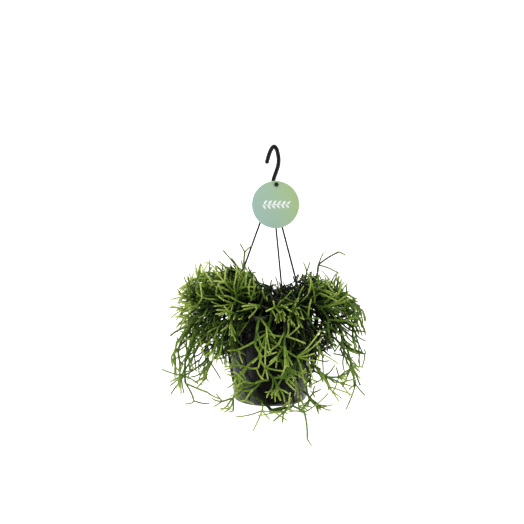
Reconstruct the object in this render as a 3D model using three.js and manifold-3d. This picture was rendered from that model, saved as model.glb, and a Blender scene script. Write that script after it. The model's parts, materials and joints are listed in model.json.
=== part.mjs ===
// A mistletoe cactus (Rhipsalis) in a tapered hanging pot, with its three-armed hanger and a round label.
// Millimetres, +Z up, -Y to the front. The pot stands on z = 0 while it is modelled, and the whole
// group is then moved so that its origin is the seat of the hook, where the object hangs.
import * as THREE from "three";
import { mergeVertices } from "three/addons/utils/BufferGeometryUtils.js";
import Module from "manifold-3d";

// ---- Driving dimensions ----
const gap = 0.35; // between neighbouring solids

const pot = {
  height: 135,
  baseRadius: 56.2, // the wall's cone, carried down to z = 0
  rimRadius: 66.2,
  cornerRadius: 5,
  wall: 1.6,
  lipRadius: 70,
  lipHeight: 2.6,
  footInner: 42,
  footHeight: 1.2,
  floor: 2.4,
  segments: 32,
};
const drain = { count: 5, radius: 3, ring: 30 };
const soil = {
  top: 121,
  crown: 2.5,
  clearance: 0.7, // from the pot's wall
  corner: [4.5, 6], // the bevel along the floor: how far in, how far up
  shoulder: [14, 0.8], // where the crown starts to flatten: how far in, and its share of the crown
  rootDepth: 24,
  segments: 20,
};

const hook = {
  radius: 3.3,
  sides: 8,
  seat: [6.1, 386.7], // x and z of the inside of the bend, where it hangs
  // Centre line from the hub to the blunt tip, as x and z.
  line: [
    [2, 318],
    [3.9, 329],
    [6, 340.5],
    [9.8, 351.5],
    [12.6, 360.5],
    [13.4, 370],
    [12, 379.6],
    [9.7, 386.8],
    [6.1, 390],
    [2.5, 386.6],
    [-0.8, 379.4],
    [-3.4, 371],
    [-5.4, 363.2],
  ],
};
const hub = {
  x: 3.4,
  bottom: 311.5,
  top: 326,
  radius: 8,
  neck: 4.2,
  socketRing: 3.2, // radius on which the arms' sockets end
  socketDepth: 5,
};
const arm = {
  radius: 1.45,
  sides: 6,
  azimuths: [72, 217, 309.2], // degrees round the pot, from +X
  hang: 72.1, // radius of the upright end beside the lip
  bend: [150, 3, 0.7], // where the arm turns upright: height, half its length, how far in it starts
  clip: [1.5, 1.1, 0.25, 4.1], // the turn under the lip: rise, then how far in and up it ends
  obstacle: 1.9, // radius that stems stay clear of
};
const label = {
  radius: 35.9,
  thickness: 0.8,
  pinX: 9.2,
  pinZ: 328,
  drop: 30.4, // from the pin to the middle of the disc
  aside: -1, // and how far that lies to the side
  back: -21.9, // y of its back face, just in front of the two front arms
  holeRadius: 2.3,
  pinRadius: 1.8,
  stubRadius: 2.8,
  knobRadius: 3.2,
  knobLength: 1.5,
};

// ---- The plant ----
const stemRadius = [1.15, 1.35, 1.6, 1.85, 2.05]; // by how many whorls grow on beyond the stem
const rootRadius = 2.15;
const rootTop = 127;
const sectionScale = { 3: 1.2, 4: 1.1 }; // makes a 3- or 4-sided stem as wide as the round one
// A stem's ends: how far its base is sunk, base and tip radius as shares, and its point.
const stemSection = { sunk: 1.2, base: 0.35, tip: 0.6, point: 0.9 };

// Long stems placed by hand, one list a plant: root in the soil as x and y, then the end of each
// stem as [the row it grows from, x, y, z], where -1 is the root.
const placed = {
  front_centre: {
    root: [-24, -30],
    ends: [
      [-1, -39, -46, 189],
      [0, -10, -64, 169],
      [1, -15, -76, 150],
      [2, -32, -84, 153],
      [2, -39, -90, 145],
      [2, -31, -92, 133],
      [2, 1, -84, 144],
      [6, 7, -92, 134],
      [6, -6, -90, 112],
      [8, -45, -82, 88],
      [8, -17, -90, 79],
      [8, 22, -96, 108],
      [8, 36, -86, 78],
      [8, -8, -100, 69],
      [8, 0, -104, 86],
      [9, -61, -86, 87],
      [9, -39, -90, 70],
      [10, 8, -98, 87],
      [10, -26, -96, 71],
      [10, -8, -88, 64],
      [19, -14, -88, 47],
      [19, -4, -92, 47],
      [19, 10, -92, 80],
      [19, 20, -90, 59],
      [11, 23, -104, 132],
      [11, 40, -102, 125],
      [11, 47, -100, 99],
      [12, 68, -96, 117],
      [12, 69, -104, 106],
      [12, 60, -102, 86],
      [12, 62, -92, 74],
      [12, 44, -90, 58],
      [12, 47, -82, 40],
    ],
  },
  front_low: {
    root: [-42, -20],
    ends: [
      [-1, -64, -40, 151],
      [0, -68, -50, 118],
      [1, -61, -54, 79],
      [2, -55, -54, 43],
      [3, -44, -60, 32],
      [4, -12, -68, 11],
      [5, -12, -72, 0],
      [6, -51, -78, -8],
      [6, -26, -82, -28],
      [6, 0, -84, -11],
      [5, 1, -70, 0],
      [10, 24, -80, -13],
      [10, 31, -72, 6],
      [12, 48, -68, -4],
      [13, 84, -60, 22],
      [13, 52, -72, -41],
      [15, 59, -76, -50],
      [13, 42, -66, 21],
    ],
  },
  right_low: {
    root: [38, -28],
    ends: [
      [-1, 54, -48, 153],
      [0, 59, -64, 112],
      [1, 61, -58, 66],
      [2, 79, -56, 45],
      [3, 93, -66, 65],
      [3, 99, -52, 43],
      [3, 84, -62, 25],
      [3, 51, -72, 34],
      [5, 96, -44, 57],
      [5, 115, -48, 43],
      [5, 118, -58, 55],
      [5, 104, -62, 39],
      [5, 89, -50, 17],
    ],
  },
  far_right: {
    root: [47, -10],
    ends: [
      [-1, 76, -12, 152],
      [0, 106, -13, 112],
      [1, 125, -14, 52],
      [2, 130, -16, 25],
      [3, 114, -20, -14],
      [3, 146, -12, 6],
    ],
  },
  left_low: {
    root: [-47, 4],
    ends: [
      [-1, -78, 2, 150],
      [0, -98, -4, 104],
      [1, -136, -8, 36],
      [2, -131, -14, 9],
      [1, -94, -14, 66],
      [4, -130, -22, 39],
      [5, -164, -26, 50],
      [5, -141, -30, 22],
    ],
  },
  upper_left: {
    root: [-28, -8],
    ends: [
      [-1, -40, -38, 190],
      [0, -38, -40, 225],
      [1, -46, -42, 239],
      [1, -28, -36, 235],
      [0, -58, -46, 218],
      [0, -71, -40, 229],
      [0, -20, -42, 196],
    ],
  },
  upper_right: {
    root: [30, -4],
    ends: [
      [-1, 51, -20, 176],
      [0, 55, -26, 196],
      [1, 60, -30, 212],
      [1, 50, -20, 211],
      [0, 69, -14, 183],
      [4, 73, -18, 206],
      [5, 103, -26, 226],
      [6, 114, -30, 220],
      [5, 105, -24, 193],
      [5, 82, -12, 226],
    ],
  },
  left_light: {
    root: [-37, -30],
    ends: [
      [-1, -32, -52, 166],
      [0, -45, -62, 162],
      [1, -65, -76, 182],
      [2, -80, -84, 200],
      [2, -81, -88, 184],
      [2, -63, -76, 202],
      [1, -53, -72, 152],
      [6, -74, -86, 163],
      [6, -80, -84, 149],
      [6, -73, -82, 135],
      [6, -58, -88, 131],
    ],
  },
  right_star: {
    root: [20, -30],
    ends: [
      [-1, 27, -48, 170],
      [0, 39, -68, 151],
      [1, 20, -80, 161],
      [1, 28, -84, 134],
      [1, 45, -86, 132],
      [1, 58, -80, 145],
      [1, 53, -76, 165],
    ],
  },
};

// Cuttings that grow by the rule in grow(): the root's radius and azimuth, the leader's azimuth and
// elevation, the length of its first stem, how far the leader's stems sag, and how many it has if
// that isn't rule.leaderStems.
const cuttings = {
  left_top: [30, 176, 178, 56, 44, 0.4],
  left_mid: [50, 166, 168, 46, 38, 0.42],
  left_front: [52, 189, 206, 48, 38, 0.55],
  left_back: [48, 142, 148, 50, 40, 0.5],
  left_skirt: [40, 158, 184, 60, 42, 0.95],
  right_top: [32, 12, 8, 54, 42, 0.4],
  right_mid: [50, 1, 354, 46, 38, 0.42],
  right_front: [50, 331, 334, 48, 38, 0.6],
  right_back: [48, 34, 30, 50, 40, 0.5],
  right_skirt: [50, 13, 14, 58, 40, 1],
  back_mid: [46, 98, 98, 54, 36, 0.65],
  back_left: [46, 120, 120, 54, 38, 0.6],
  back_right: [46, 60, 58, 54, 38, 0.6],
  front_left: [50, 244, 240, 60, 28, 0.8],
  front_mid: [46, 272, 270, 62, 26, 0.8],
  front_right: [50, 296, 298, 60, 28, 0.8],
  inner: [14, 70, 100, 74, 34, 0.5],
  inner_right: [34, 50, 46, 66, 42, 0.4],
  inner_left: [34, 130, 134, 66, 42, 0.4],
  middle_right: [24, 20, 30, 76, 32, 0.3],
  middle_left: [22, 160, 150, 76, 32, 0.3],
  middle_front: [22, 290, 280, 74, 28, 0.4],
  middle_back: [18, 110, 120, 80, 30, 0.3],
  front_hang_left: [50, 236, 234, 62, 30, 1.2, 6],
  front_hang_mid: [48, 262, 262, 62, 30, 1.2, 6],
  front_hang_right: [50, 286, 288, 62, 30, 1.2, 6],
  left_hang: [50, 152, 156, 60, 30, 1.25, 5],
  right_hang: [50, 24, 26, 60, 30, 1.25, 5],
  right_hang_front: [53, 339, 338, 60, 30, 1.25, 5],
};
const rule = {
  seed: 1236,
  leaderStems: 4, // stems in a row along a leader
  leaderWhorl: [2, 3], // shoots at a leader's node, least and most
  sideWhorl: [2, 2], // and at a side shoot's
  shorten: 0.86, // each stem against the one that it grows from
  sideShare: 0.9, // a side shoot against the stem that it grows from
  spread: [18, 46], // degrees between a side shoot and that stem
  sag: 0.22, // how far a side shoot bends down over its length
  rootSag: 0.9, // most that a stem from the soil does
  outward: 0.1, // pull of side shoots away from the pot's axis
  leaderOutward: 0.06, // and of leaders
  stray: [0.1, 0.9], // how far the first try strays from the heading, and how much more the last may
  retreat: 0.35, // how much shorter the last try is
  lengths: [0.88, 0.24], // least share of the length, and how much more chance adds
  apart: 1.2, // between stems of one plant
  swell: 1.2, // room that a new stem takes, against its radius
  tries: [7, 16], // for a side shoot and a leader
  shortest: 14,
};
// How far a stem placed by hand carries on as its parent points, from a root and from a stem, and
// how many straight pieces it has.
const byHand = { rootLead: 0.45, lead: 0.22, rootSteps: 3, steps: 2 };
const reach = {
  left: -150,
  right: 142,
  depth: [118, 60, 0.25], // in the middle, from how far out it gets less, and how fast
  dip: 174, // height of the foliage in the middle
  crown: 200, // and of the masses on each side
  middle: [8, 14, 58], // the dip's x, and how far from it the rise to the crown starts and ends
  fall: [88, 0.5, 0.12], // from how far out the top falls, how fast, and how fast with depth
  tilt: 0.22, // how fast it falls to the right as well
  skirt: 14, // lowest height of what grows by the rule
  potClearance: 1.2,
  lipRoom: [14, 3], // height of the zone round the lip, and the room kept round it
  under: [2, -90], // room kept round the space below the pot, and how far down that goes
};

// ---- Small vector helpers on [x, y, z] ----
const add = (a, b) => a.map((v, i) => v + b[i]);
const scaled = (a, s) => a.map((v) => v * s);
const minus = (a, b) => a.map((v, i) => v - b[i]);
const dot = (a, b) => a[0] * b[0] + a[1] * b[1] + a[2] * b[2];
const cross = (a, b) => [
  a[1] * b[2] - a[2] * b[1],
  a[2] * b[0] - a[0] * b[2],
  a[0] * b[1] - a[1] * b[0],
];
const length = (a) => Math.sqrt(dot(a, a));
const unit = (a) => scaled(a, 1 / (length(a) || 1));
const radians = Math.PI / 180;

function seeded(seed) {
  let state = seed;
  return () => {
    state = (state * 1664525 + 1013904223) % 4294967296;
    return state / 4294967296;
  };
}

// ---- Solids ----
const wasm = await Module();
wasm.setup();

function solidOf(geometry) {
  const bare = geometry.clone();
  bare.deleteAttribute("normal");
  bare.deleteAttribute("uv");
  const merged = mergeVertices(bare, 1e-4);
  return new wasm.Manifold(
    new wasm.Mesh({
      numProp: 3,
      vertProperties: new Float32Array(merged.attributes.position.array),
      triVerts: new Uint32Array(merged.index.array),
    }),
  );
}

function meshOf(name, solid, material) {
  const made = solid.getMesh();
  const geometry = new THREE.BufferGeometry()
    .setAttribute("position", new THREE.BufferAttribute(made.vertProperties, 3))
    .setIndex(new THREE.BufferAttribute(made.triVerts, 1));
  geometry.computeVertexNormals();
  const mesh = new THREE.Mesh(geometry, material);
  mesh.name = name;
  return mesh;
}

// A tube through points, with a radius at each, made by moving a cylinder's rings onto them. tip
// is how far the last face's middle stands out.
function tube(points, radii, sides, tip = 0) {
  const last = points.length - 1;
  const tangents = points.map((_, i) =>
    unit(minus(points[Math.min(i + 1, last)], points[Math.max(i - 1, 0)])),
  );
  const frames = [];
  let side = Math.abs(tangents[0][2]) > 0.9 ? [1, 0, 0] : [0, 0, 1];
  for (const tangent of tangents) {
    side = unit(minus(side, scaled(tangent, dot(side, tangent))));
    frames.push([side, cross(tangent, side)]);
  }
  const geometry = new THREE.CylinderGeometry(1, 1, 1, sides, last);
  const position = geometry.attributes.position;
  for (let i = 0; i < position.count; i++) {
    const [x, y, z] = [position.getX(i), position.getY(i), position.getZ(i)];
    const ring = Math.round((0.5 - y) * last);
    const [across, up] = frames[ring];
    const out = add(scaled(across, x * radii[ring]), scaled(up, z * radii[ring]));
    let place = add(points[ring], out);
    if (ring === last && x * x + z * z < 0.1)
      place = add(place, scaled(tangents[last], tip));
    position.setXYZ(i, ...place);
  }
  return solidOf(geometry);
}

const lathe = (profile, segments) =>
  solidOf(
    new THREE.LatheGeometry(
      profile.map(([r, z]) => new THREE.Vector2(r, z)),
      segments,
    ).rotateX(Math.PI / 2),
  );

function rod(radius, height, sides, x, y, z) {
  const geometry = new THREE.CylinderGeometry(radius, radius, height, sides);
  return solidOf(geometry.rotateX(Math.PI / 2).translate(x, y, z + height / 2));
}

// ---- Pot and soil ----
const wallRadius = (z) =>
  pot.baseRadius + ((pot.rimRadius - pot.baseRadius) * z) / pot.height;
const innerRadius = (z) => wallRadius(z) - pot.wall;

function makePot() {
  const { height, lipHeight, lipRadius, footInner, footHeight, floor } = pot;
  const corner = [];
  for (let step = 0; step <= 3; step++) {
    const turn = (step * Math.PI) / 6;
    const r = wallRadius(0) - pot.cornerRadius * (1 - Math.sin(turn));
    corner.push([r, pot.cornerRadius * (1 - Math.cos(turn))]);
  }
  const profile = [
    [0, footHeight],
    [footInner, footHeight],
    [footInner + 2, 0],
    ...corner,
    [wallRadius(height - lipHeight), height - lipHeight],
    [lipRadius, height - lipHeight],
    [lipRadius, height],
    [innerRadius(height), height],
    [innerRadius(floor + 5), floor + 5],
    [innerRadius(floor) - 4, floor],
    [0, floor],
  ];
  let body = lathe(profile, pot.segments);
  for (let i = 0; i < drain.count; i++) {
    const turn = (2 * Math.PI * (i + 0.5)) / drain.count;
    const [x, y] = [drain.ring * Math.cos(turn), drain.ring * Math.sin(turn)];
    body = body.subtract(rod(drain.radius, 2 * floor, 8, x, y, -1));
  }
  return body;
}

function makeSoil(roots) {
  const { clearance, corner, shoulder } = soil;
  const bottom = pot.floor + gap;
  const profile = [
    [0, bottom],
    [innerRadius(bottom) - clearance - corner[0], bottom],
    [innerRadius(bottom + corner[1]) - clearance, bottom + corner[1]],
    [innerRadius(soil.top) - clearance, soil.top],
    [innerRadius(soil.top) - shoulder[0], soil.top + shoulder[1] * soil.crown],
    [0, soil.top + soil.crown],
  ];
  let body = lathe(profile, soil.segments);
  const holeRadius = rootRadius * sectionScale[4] + gap * Math.SQRT2;
  for (const [x, y] of roots) {
    const depth = soil.top - soil.rootDepth;
    body = body.subtract(rod(holeRadius, 2 * soil.rootDepth, 4, x, y, depth));
  }
  return body;
}

// ---- Hanger ----
function armPoints(azimuth) {
  const turn = azimuth * radians;
  const [c, s] = [Math.cos(turn), Math.sin(turn)];
  const under = pot.height - pot.lipHeight - gap - arm.radius;
  const top = [
    hub.x + hub.socketRing * c,
    hub.socketRing * s,
    hub.bottom + hub.socketDepth,
  ];
  const [height, half, lean] = arm.bend;
  const [rise, turnIn, turnUp, tuck] = arm.clip;
  const upright = [
    [arm.hang - lean, height + half],
    [arm.hang, height - half],
    [arm.hang, under + rise],
    [arm.hang - turnIn, under + turnUp],
    [arm.hang - tuck, under],
  ];
  return [top, ...upright.map(([r, z]) => [r * c, r * s, z])];
}

function makeArm(azimuth) {
  const points = armPoints(azimuth);
  return tube(points, points.map(() => arm.radius), arm.sides);
}

function makeHook() {
  const curve = new THREE.CatmullRomCurve3(
    hook.line.map(([x, z]) => new THREE.Vector3(x, 0, z)),
    false,
    "centripetal",
  );
  const points = curve.getPoints(24).map((p) => [p.x, p.y, p.z]);
  let body = tube(points, points.map(() => hook.radius), hook.sides, 0.6);
  const { bottom, top, radius, neck } = hub;
  const barrel = lathe(
    [
      [0, bottom],
      [radius - 1, bottom],
      [radius, bottom + 1.5],
      [radius, bottom + 7],
      [neck, top],
      [0, top],
    ],
    16,
  );
  body = body.add(barrel.translate([hub.x, 0, 0]));
  for (const azimuth of arm.azimuths) {
    const [end, next] = armPoints(azimuth);
    const along = unit(minus(end, next));
    const deeper = add(end, scaled(along, gap));
    const mouth = minus(end, scaled(along, 3 * hub.socketDepth));
    const bore = (arm.radius + gap) / Math.cos(Math.PI / 8);
    body = body.subtract(tube([mouth, deeper], [bore, bore], 8));
  }
  return body.add(makeLabelPin());
}

// The label's pin: a stub from the hook's shank, forward through the label to a snap knob.
function makeLabelPin() {
  const { pinX: x, pinZ: z, back, thickness, pinRadius, stubRadius } = label;
  const front = back - thickness - gap;
  const knobEnd = front - label.knobLength;
  const stub = tube(
    [
      [x - 5.4, 0, z - 1],
      [x - 0.6, -3.4, z],
      [x, -6, z],
      [x, back + gap, z],
    ],
    [0.86, 0.93, 1, 1].map((share) => share * stubRadius),
    10,
  );
  const pin = tube([[x, back + 1, z], [x, front - 0.4, z]], [pinRadius, pinRadius], 10);
  const knob = tube(
    [
      [x, front, z],
      [x, front - 0.6, z],
      [x, knobEnd, z],
    ],
    [label.knobRadius, label.knobRadius, 0.6 * label.knobRadius],
    12,
    0.2,
  );
  return stub.add(pin).add(knob);
}

function makeLabel() {
  const disc = new THREE.Shape();
  disc.absarc(label.aside, -label.drop, label.radius, 0, 2 * Math.PI);
  const hole = new THREE.Path();
  hole.absarc(0, 0, label.holeRadius, 0, 2 * Math.PI, true);
  disc.holes.push(hole);
  const geometry = new THREE.ExtrudeGeometry(disc, {
    depth: label.thickness,
    bevelEnabled: false,
    curveSegments: 22,
  });
  geometry.rotateX(Math.PI / 2).translate(label.pinX, label.back, label.pinZ);
  return solidOf(geometry);
}

// ---- Growth ----
const endDirection = (path) => unit(minus(path.at(-1), path.at(-2)));

// Shortest distance between the line pieces a-b and c-d.
function between(a, b, c, d) {
  const [u, v, w] = [minus(b, a), minus(d, c), minus(a, c)];
  const [uu, uv, vv, uw, vw] = [dot(u, u), dot(u, v), dot(v, v), dot(u, w), dot(v, w)];
  const det = uu * vv - uv * uv;
  const clamp = (t) => Math.min(1, Math.max(0, t));
  let s = det > 1e-9 ? clamp((uv * vw - vv * uw) / det) : 0;
  const t = clamp((uv * s + vw) / vv);
  s = clamp((uv * t - uw) / uu);
  return length(add(w, minus(scaled(u, s), scaled(v, t))));
}

// Points along a stem that leaves start along heading and sags on its way.
function stemPath(start, heading, reachOut, sag, steps) {
  const bent = unit(add(heading, [0, 0, -sag]));
  const middle = add(start, scaled(heading, reachOut / 2));
  const end = add(middle, scaled(bent, reachOut / 2));
  return bezier(start, middle, end, steps);
}

function bezier(a, b, c, steps) {
  const points = [];
  for (let i = 0; i <= steps; i++) {
    const t = i / steps;
    const ab = add(scaled(a, 1 - t), scaled(b, t));
    const bc = add(scaled(b, 1 - t), scaled(c, t));
    points.push(add(scaled(ab, 1 - t), scaled(bc, t)));
  }
  return points;
}

const smooth = (low, high, v) => {
  const t = Math.min(1, Math.max(0, (v - low) / (high - low)));
  return t * t * (3 - 2 * t);
};

function withinReach([x, y, z]) {
  const [centre, riseFrom, riseTo] = reach.middle;
  const [shoulder, fall, depthFall] = reach.fall;
  const [deep, narrowFrom, narrow] = reach.depth;
  const outer = Math.max(0, Math.abs(x) - shoulder) * fall;
  const edge = outer + Math.abs(y) * depthFall + Math.max(0, x) * reach.tilt;
  const rise = smooth(riseFrom, riseTo, Math.abs(x - centre));
  const ceiling = reach.dip + (reach.crown - reach.dip) * rise - edge;
  const inDepth = Math.abs(y) < deep - narrow * Math.max(0, Math.abs(x) - narrowFrom);
  return x > reach.left && x < reach.right && inDepth && z < ceiling && z > reach.skirt;
}

// Whether a round of this radius at a point is clear of the pot, its lip, the soil and the space
// that is kept free under the pot.
function clearOfPot([x, y, z], radius) {
  const from = Math.sqrt(x * x + y * y);
  const room = radius + reach.potClearance;
  const [lipZone, lipRoom] = reach.lipRoom;
  const [underRoom, underEnd] = reach.under;
  if (z < -room) return from > pot.baseRadius + underRoom || z < underEnd;
  if (z > pot.height + room) return true;
  const outer = z > pot.height - lipZone ? pot.lipRadius + lipRoom : wallRadius(z);
  if (from > outer + room) return true;
  return z > soil.top + soil.crown + radius && from < innerRadius(z) - room;
}

function grow() {
  const random = seeded(rule.seed);
  const pick = ([low, high]) => low + (high - low) * random();
  const stems = [];
  const clear = (path, radius, plant, from) => {
    for (let i = 1; i < path.length; i++) {
      const halfway = scaled(add(path[i - 1], path[i]), 0.5);
      if (!clearOfPot(halfway, radius) || !clearOfPot(path[i], radius)) return false;
    }
    for (const other of stems) {
      const own = other.plant === plant;
      if (own && (other.from === from || other === from)) continue;
      const room = radius + other.radius + (own ? rule.apart : gap);
      const first = own ? 1 : 0;
      for (let i = first; i + 1 < path.length; i++)
        for (let j = 0; j + 1 < other.path.length; j++)
          if (between(path[i], path[i + 1], other.path[j], other.path[j + 1]) < room)
            return false;
    }
    return true;
  };
  const keep = (plant, from, path, rank) => {
    const stem = { plant, from, path, rank, radius: stemRadius[rank] };
    stems.push(stem);
    return stem;
  };

  // What every stem has to stay clear of: the hanger's arms, and each plant's root.
  for (const azimuth of arm.azimuths)
    stems.push({
      plant: "hanger",
      path: armPoints(azimuth),
      radius: arm.obstacle,
      fixed: true,
    });
  const roots = {};
  for (const [name, { root }] of Object.entries(placed)) roots[name] = root;
  for (const [name, [from, azimuth]] of Object.entries(cuttings)) {
    const turn = azimuth * radians;
    roots[name] = [from * Math.cos(turn), from * Math.sin(turn)];
  }
  for (const [name, [x, y]] of Object.entries(roots)) {
    const path = [
      [x, y, soil.top - soil.rootDepth + gap],
      [x, y, rootTop],
    ];
    roots[name] = keep(name, null, path, 4);
    roots[name].radius = rootRadius;
  }

  // Long stems by hand. A stem's rank is the number of whorls beyond it.
  for (const [plant, { ends }] of Object.entries(placed)) {
    const rank = ends.map(() => 0);
    for (let i = ends.length - 1; i >= 0; i--) {
      const parent = ends[i][0];
      if (parent >= 0) rank[parent] = Math.max(rank[parent], rank[i] + 1);
    }
    const made = [];
    ends.forEach(([parent, ...end], i) => {
      const from = parent < 0 ? roots[plant] : made[parent];
      const start = from.path.at(-1);
      const along = endDirection(from.path);
      const span = length(minus(end, start));
      const lead = parent < 0 ? byHand.rootLead : byHand.lead;
      const straight = scaled(add(start, end), 0.5);
      const ahead = add(start, scaled(along, span * 0.5));
      const middle = add(scaled(straight, 1 - lead), scaled(ahead, lead));
      const steps = parent < 0 ? byHand.rootSteps : byHand.steps;
      const path = bezier(start, middle, end, steps);
      made.push(keep(plant, from, path, Math.min(rank[i], 4)));
    });
  }

  // Cuttings grow stem by stem, all of them one round at a time.
  const buds = [];
  for (const [plant, [, , azimuth, elevation, size, droop, count]] of Object.entries(cuttings)) {
    const [a, e] = [azimuth * radians, elevation * radians];
    const heading = [
      Math.cos(e) * Math.cos(a),
      Math.cos(e) * Math.sin(a),
      Math.sin(e),
    ];
    const left = count ?? rule.leaderStems;
    buds.push({ plant, from: roots[plant], heading, size, droop, left, leader: true });
  }
  while (buds.length) {
    const bud = buds.shift();
    const rank = Math.min(bud.left, 4) - 1;
    const radius = stemRadius[rank];
    const start = bud.from.path.at(-1);
    const tries = rule.tries[bud.leader ? 1 : 0];
    let path = null;
    for (let attempt = 0; attempt < tries && !path; attempt++) {
      const stray = rule.stray[0] + (rule.stray[1] * attempt) / tries;
      const wander = [random() - 0.5, random() - 0.5, random() - 0.5];
      const heading = unit(add(bud.heading, scaled(wander, 2 * stray)));
      const chance = rule.lengths[0] + rule.lengths[1] * random();
      const size = bud.size * (1 - (rule.retreat * attempt) / tries) * chance;
      const droop = bud.leader ? bud.droop : rule.sag;
      const sag = bud.from.from ? droop : Math.min(droop, rule.rootSag);
      const tried = stemPath(start, heading, size, sag, bud.leader ? 2 : 1);
      const ok = size > rule.shortest && withinReach(tried.at(-1));
      if (ok && clear(tried, radius * rule.swell, bud.plant, bud.from)) path = tried;
    }
    if (!path) continue;
    const stem = keep(bud.plant, bud.from, path, rank);
    if (bud.left > 1) buds.push(...whorl(bud, stem, random, pick));
  }
  return stems.filter((stem) => !stem.fixed);
}

// The buds at the end of a stem: its leader goes on, and side shoots stand round it.
function whorl(bud, stem, random, pick) {
  const end = stem.path.at(-1);
  const along = endDirection(stem.path);
  const flat = unit(cross(along, Math.abs(along[2]) > 0.9 ? [1, 0, 0] : [0, 0, 1]));
  const upright = cross(along, flat);
  const outward = unit([end[0], end[1], 0]);
  const [least, most] = bud.leader ? rule.leaderWhorl : rule.sideWhorl;
  const count = Math.floor(pick([least, most + 1]));
  const turn = 2 * Math.PI * random();
  const next = [];
  if (bud.leader) {
    const heading = unit(add(along, scaled(outward, rule.leaderOutward)));
    const size = bud.size * rule.shorten;
    next.push({ ...bud, from: stem, heading, size, left: bud.left - 1 });
  }
  for (let i = next.length; i < count; i++) {
    const around = turn + (2 * Math.PI * (i + 0.5 * random())) / count;
    const off = pick(rule.spread) * radians;
    const sideways = add(
      scaled(flat, Math.cos(around)),
      scaled(upright, Math.sin(around)),
    );
    const heading = unit(
      add(
        add(scaled(along, Math.cos(off)), scaled(sideways, Math.sin(off))),
        scaled(outward, rule.outward),
      ),
    );
    const size = bud.size * rule.sideShare;
    const left = Math.min(bud.left - 1, 2);
    next.push({ ...bud, from: stem, heading, size, left, leader: false });
  }
  return next;
}

// One plant's stems as a solid. Each stem starts narrow, well inside the end of the one that it
// grows from.
function makePlant(stems) {
  let body = null;
  for (const { path, radius, rank, from } of stems) {
    const sides = from ? 3 : 4;
    const wide = radius * sectionScale[sides];
    const points = [...path];
    const radii = points.map(() => wide);
    if (from) {
      points[0] = add(path[0], scaled(endDirection(from.path), -stemSection.sunk));
      radii[0] = stemSection.base * wide;
    }
    if (rank === 0) radii[radii.length - 1] = stemSection.tip * wide;
    const piece = tube(points, radii, sides, stemSection.point);
    body = body ? body.add(piece) : piece;
  }
  return body;
}

// ---- Materials ----
const material = (color, roughness, metalness = 0) =>
  new THREE.MeshStandardMaterial({ color, roughness, metalness });
const potPlastic = material(0x2b292d, 0.45);
const hangerPlastic = material(0x0f0f10, 0.4);
const peat = material(0x1c140d, 0.95);
const labelCard = material(0xa9cdb0, 0.55);
const stemGreen = material(0x5c8a26, 0.5);

// ---- The whole object ----
const stems = grow();
const plants = [...new Set(stems.map((stem) => stem.plant))];
const roots = stems.filter((stem) => !stem.from).map((stem) => stem.path[0]);

const object = new THREE.Group();
object.add(meshOf("pot", makePot(), potPlastic));
object.add(meshOf("soil", makeSoil(roots), peat));
object.add(meshOf("hanger_hook", makeHook(), hangerPlastic));
arm.azimuths.forEach((azimuth, i) =>
  object.add(meshOf(`hanger_arm_${i + 1}`, makeArm(azimuth), hangerPlastic)),
);
object.add(meshOf("label", makeLabel(), labelCard));
for (const plant of plants) {
  const own = stems.filter((stem) => stem.plant === plant);
  object.add(meshOf(`stems_${plant}`, makePlant(own), stemGreen));
}
object.position.set(-hook.seat[0], 0, -hook.seat[1]);

export default new THREE.Group().add(object);
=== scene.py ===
"""A mistletoe cactus (Rhipsalis) in its hanging pot: the looks, built round the packed model.

Its stems grow by the same seeded rule as the solids, so every fine piece keeps the form of the node
that it stands for, and more shoots of the same kind then fill the crown. Lengths are millimetres in
the pot's own frame, where the pot stands on z = 0, its axis is x = y = 0 and its front looks to -Y.
to_row() turns them into metres in the row frame, whose origin is the seat of the hook.
"""
import json
import math
from functools import lru_cache
from types import SimpleNamespace as Values

import bpy
import numpy as np
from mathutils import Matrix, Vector, noise

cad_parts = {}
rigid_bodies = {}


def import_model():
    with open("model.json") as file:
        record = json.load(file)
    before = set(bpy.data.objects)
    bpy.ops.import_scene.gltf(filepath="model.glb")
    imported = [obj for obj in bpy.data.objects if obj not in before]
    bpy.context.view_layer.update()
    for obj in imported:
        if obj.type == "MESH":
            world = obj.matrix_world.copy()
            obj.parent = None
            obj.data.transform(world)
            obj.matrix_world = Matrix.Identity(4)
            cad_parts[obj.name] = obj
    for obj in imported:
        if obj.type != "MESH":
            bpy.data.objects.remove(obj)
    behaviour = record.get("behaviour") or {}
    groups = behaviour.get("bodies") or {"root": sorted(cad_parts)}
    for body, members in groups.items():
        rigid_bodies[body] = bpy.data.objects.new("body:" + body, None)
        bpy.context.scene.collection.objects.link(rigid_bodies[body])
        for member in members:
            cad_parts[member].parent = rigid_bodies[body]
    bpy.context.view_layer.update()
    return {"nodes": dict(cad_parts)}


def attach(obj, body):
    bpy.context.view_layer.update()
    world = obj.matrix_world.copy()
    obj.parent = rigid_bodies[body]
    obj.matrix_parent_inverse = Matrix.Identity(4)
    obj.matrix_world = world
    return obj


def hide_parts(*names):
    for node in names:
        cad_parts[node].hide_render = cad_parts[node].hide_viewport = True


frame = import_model()

PLANTER, TAG = "planter", "label"  # the two bodies: all that hangs, and the label on its pin

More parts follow.
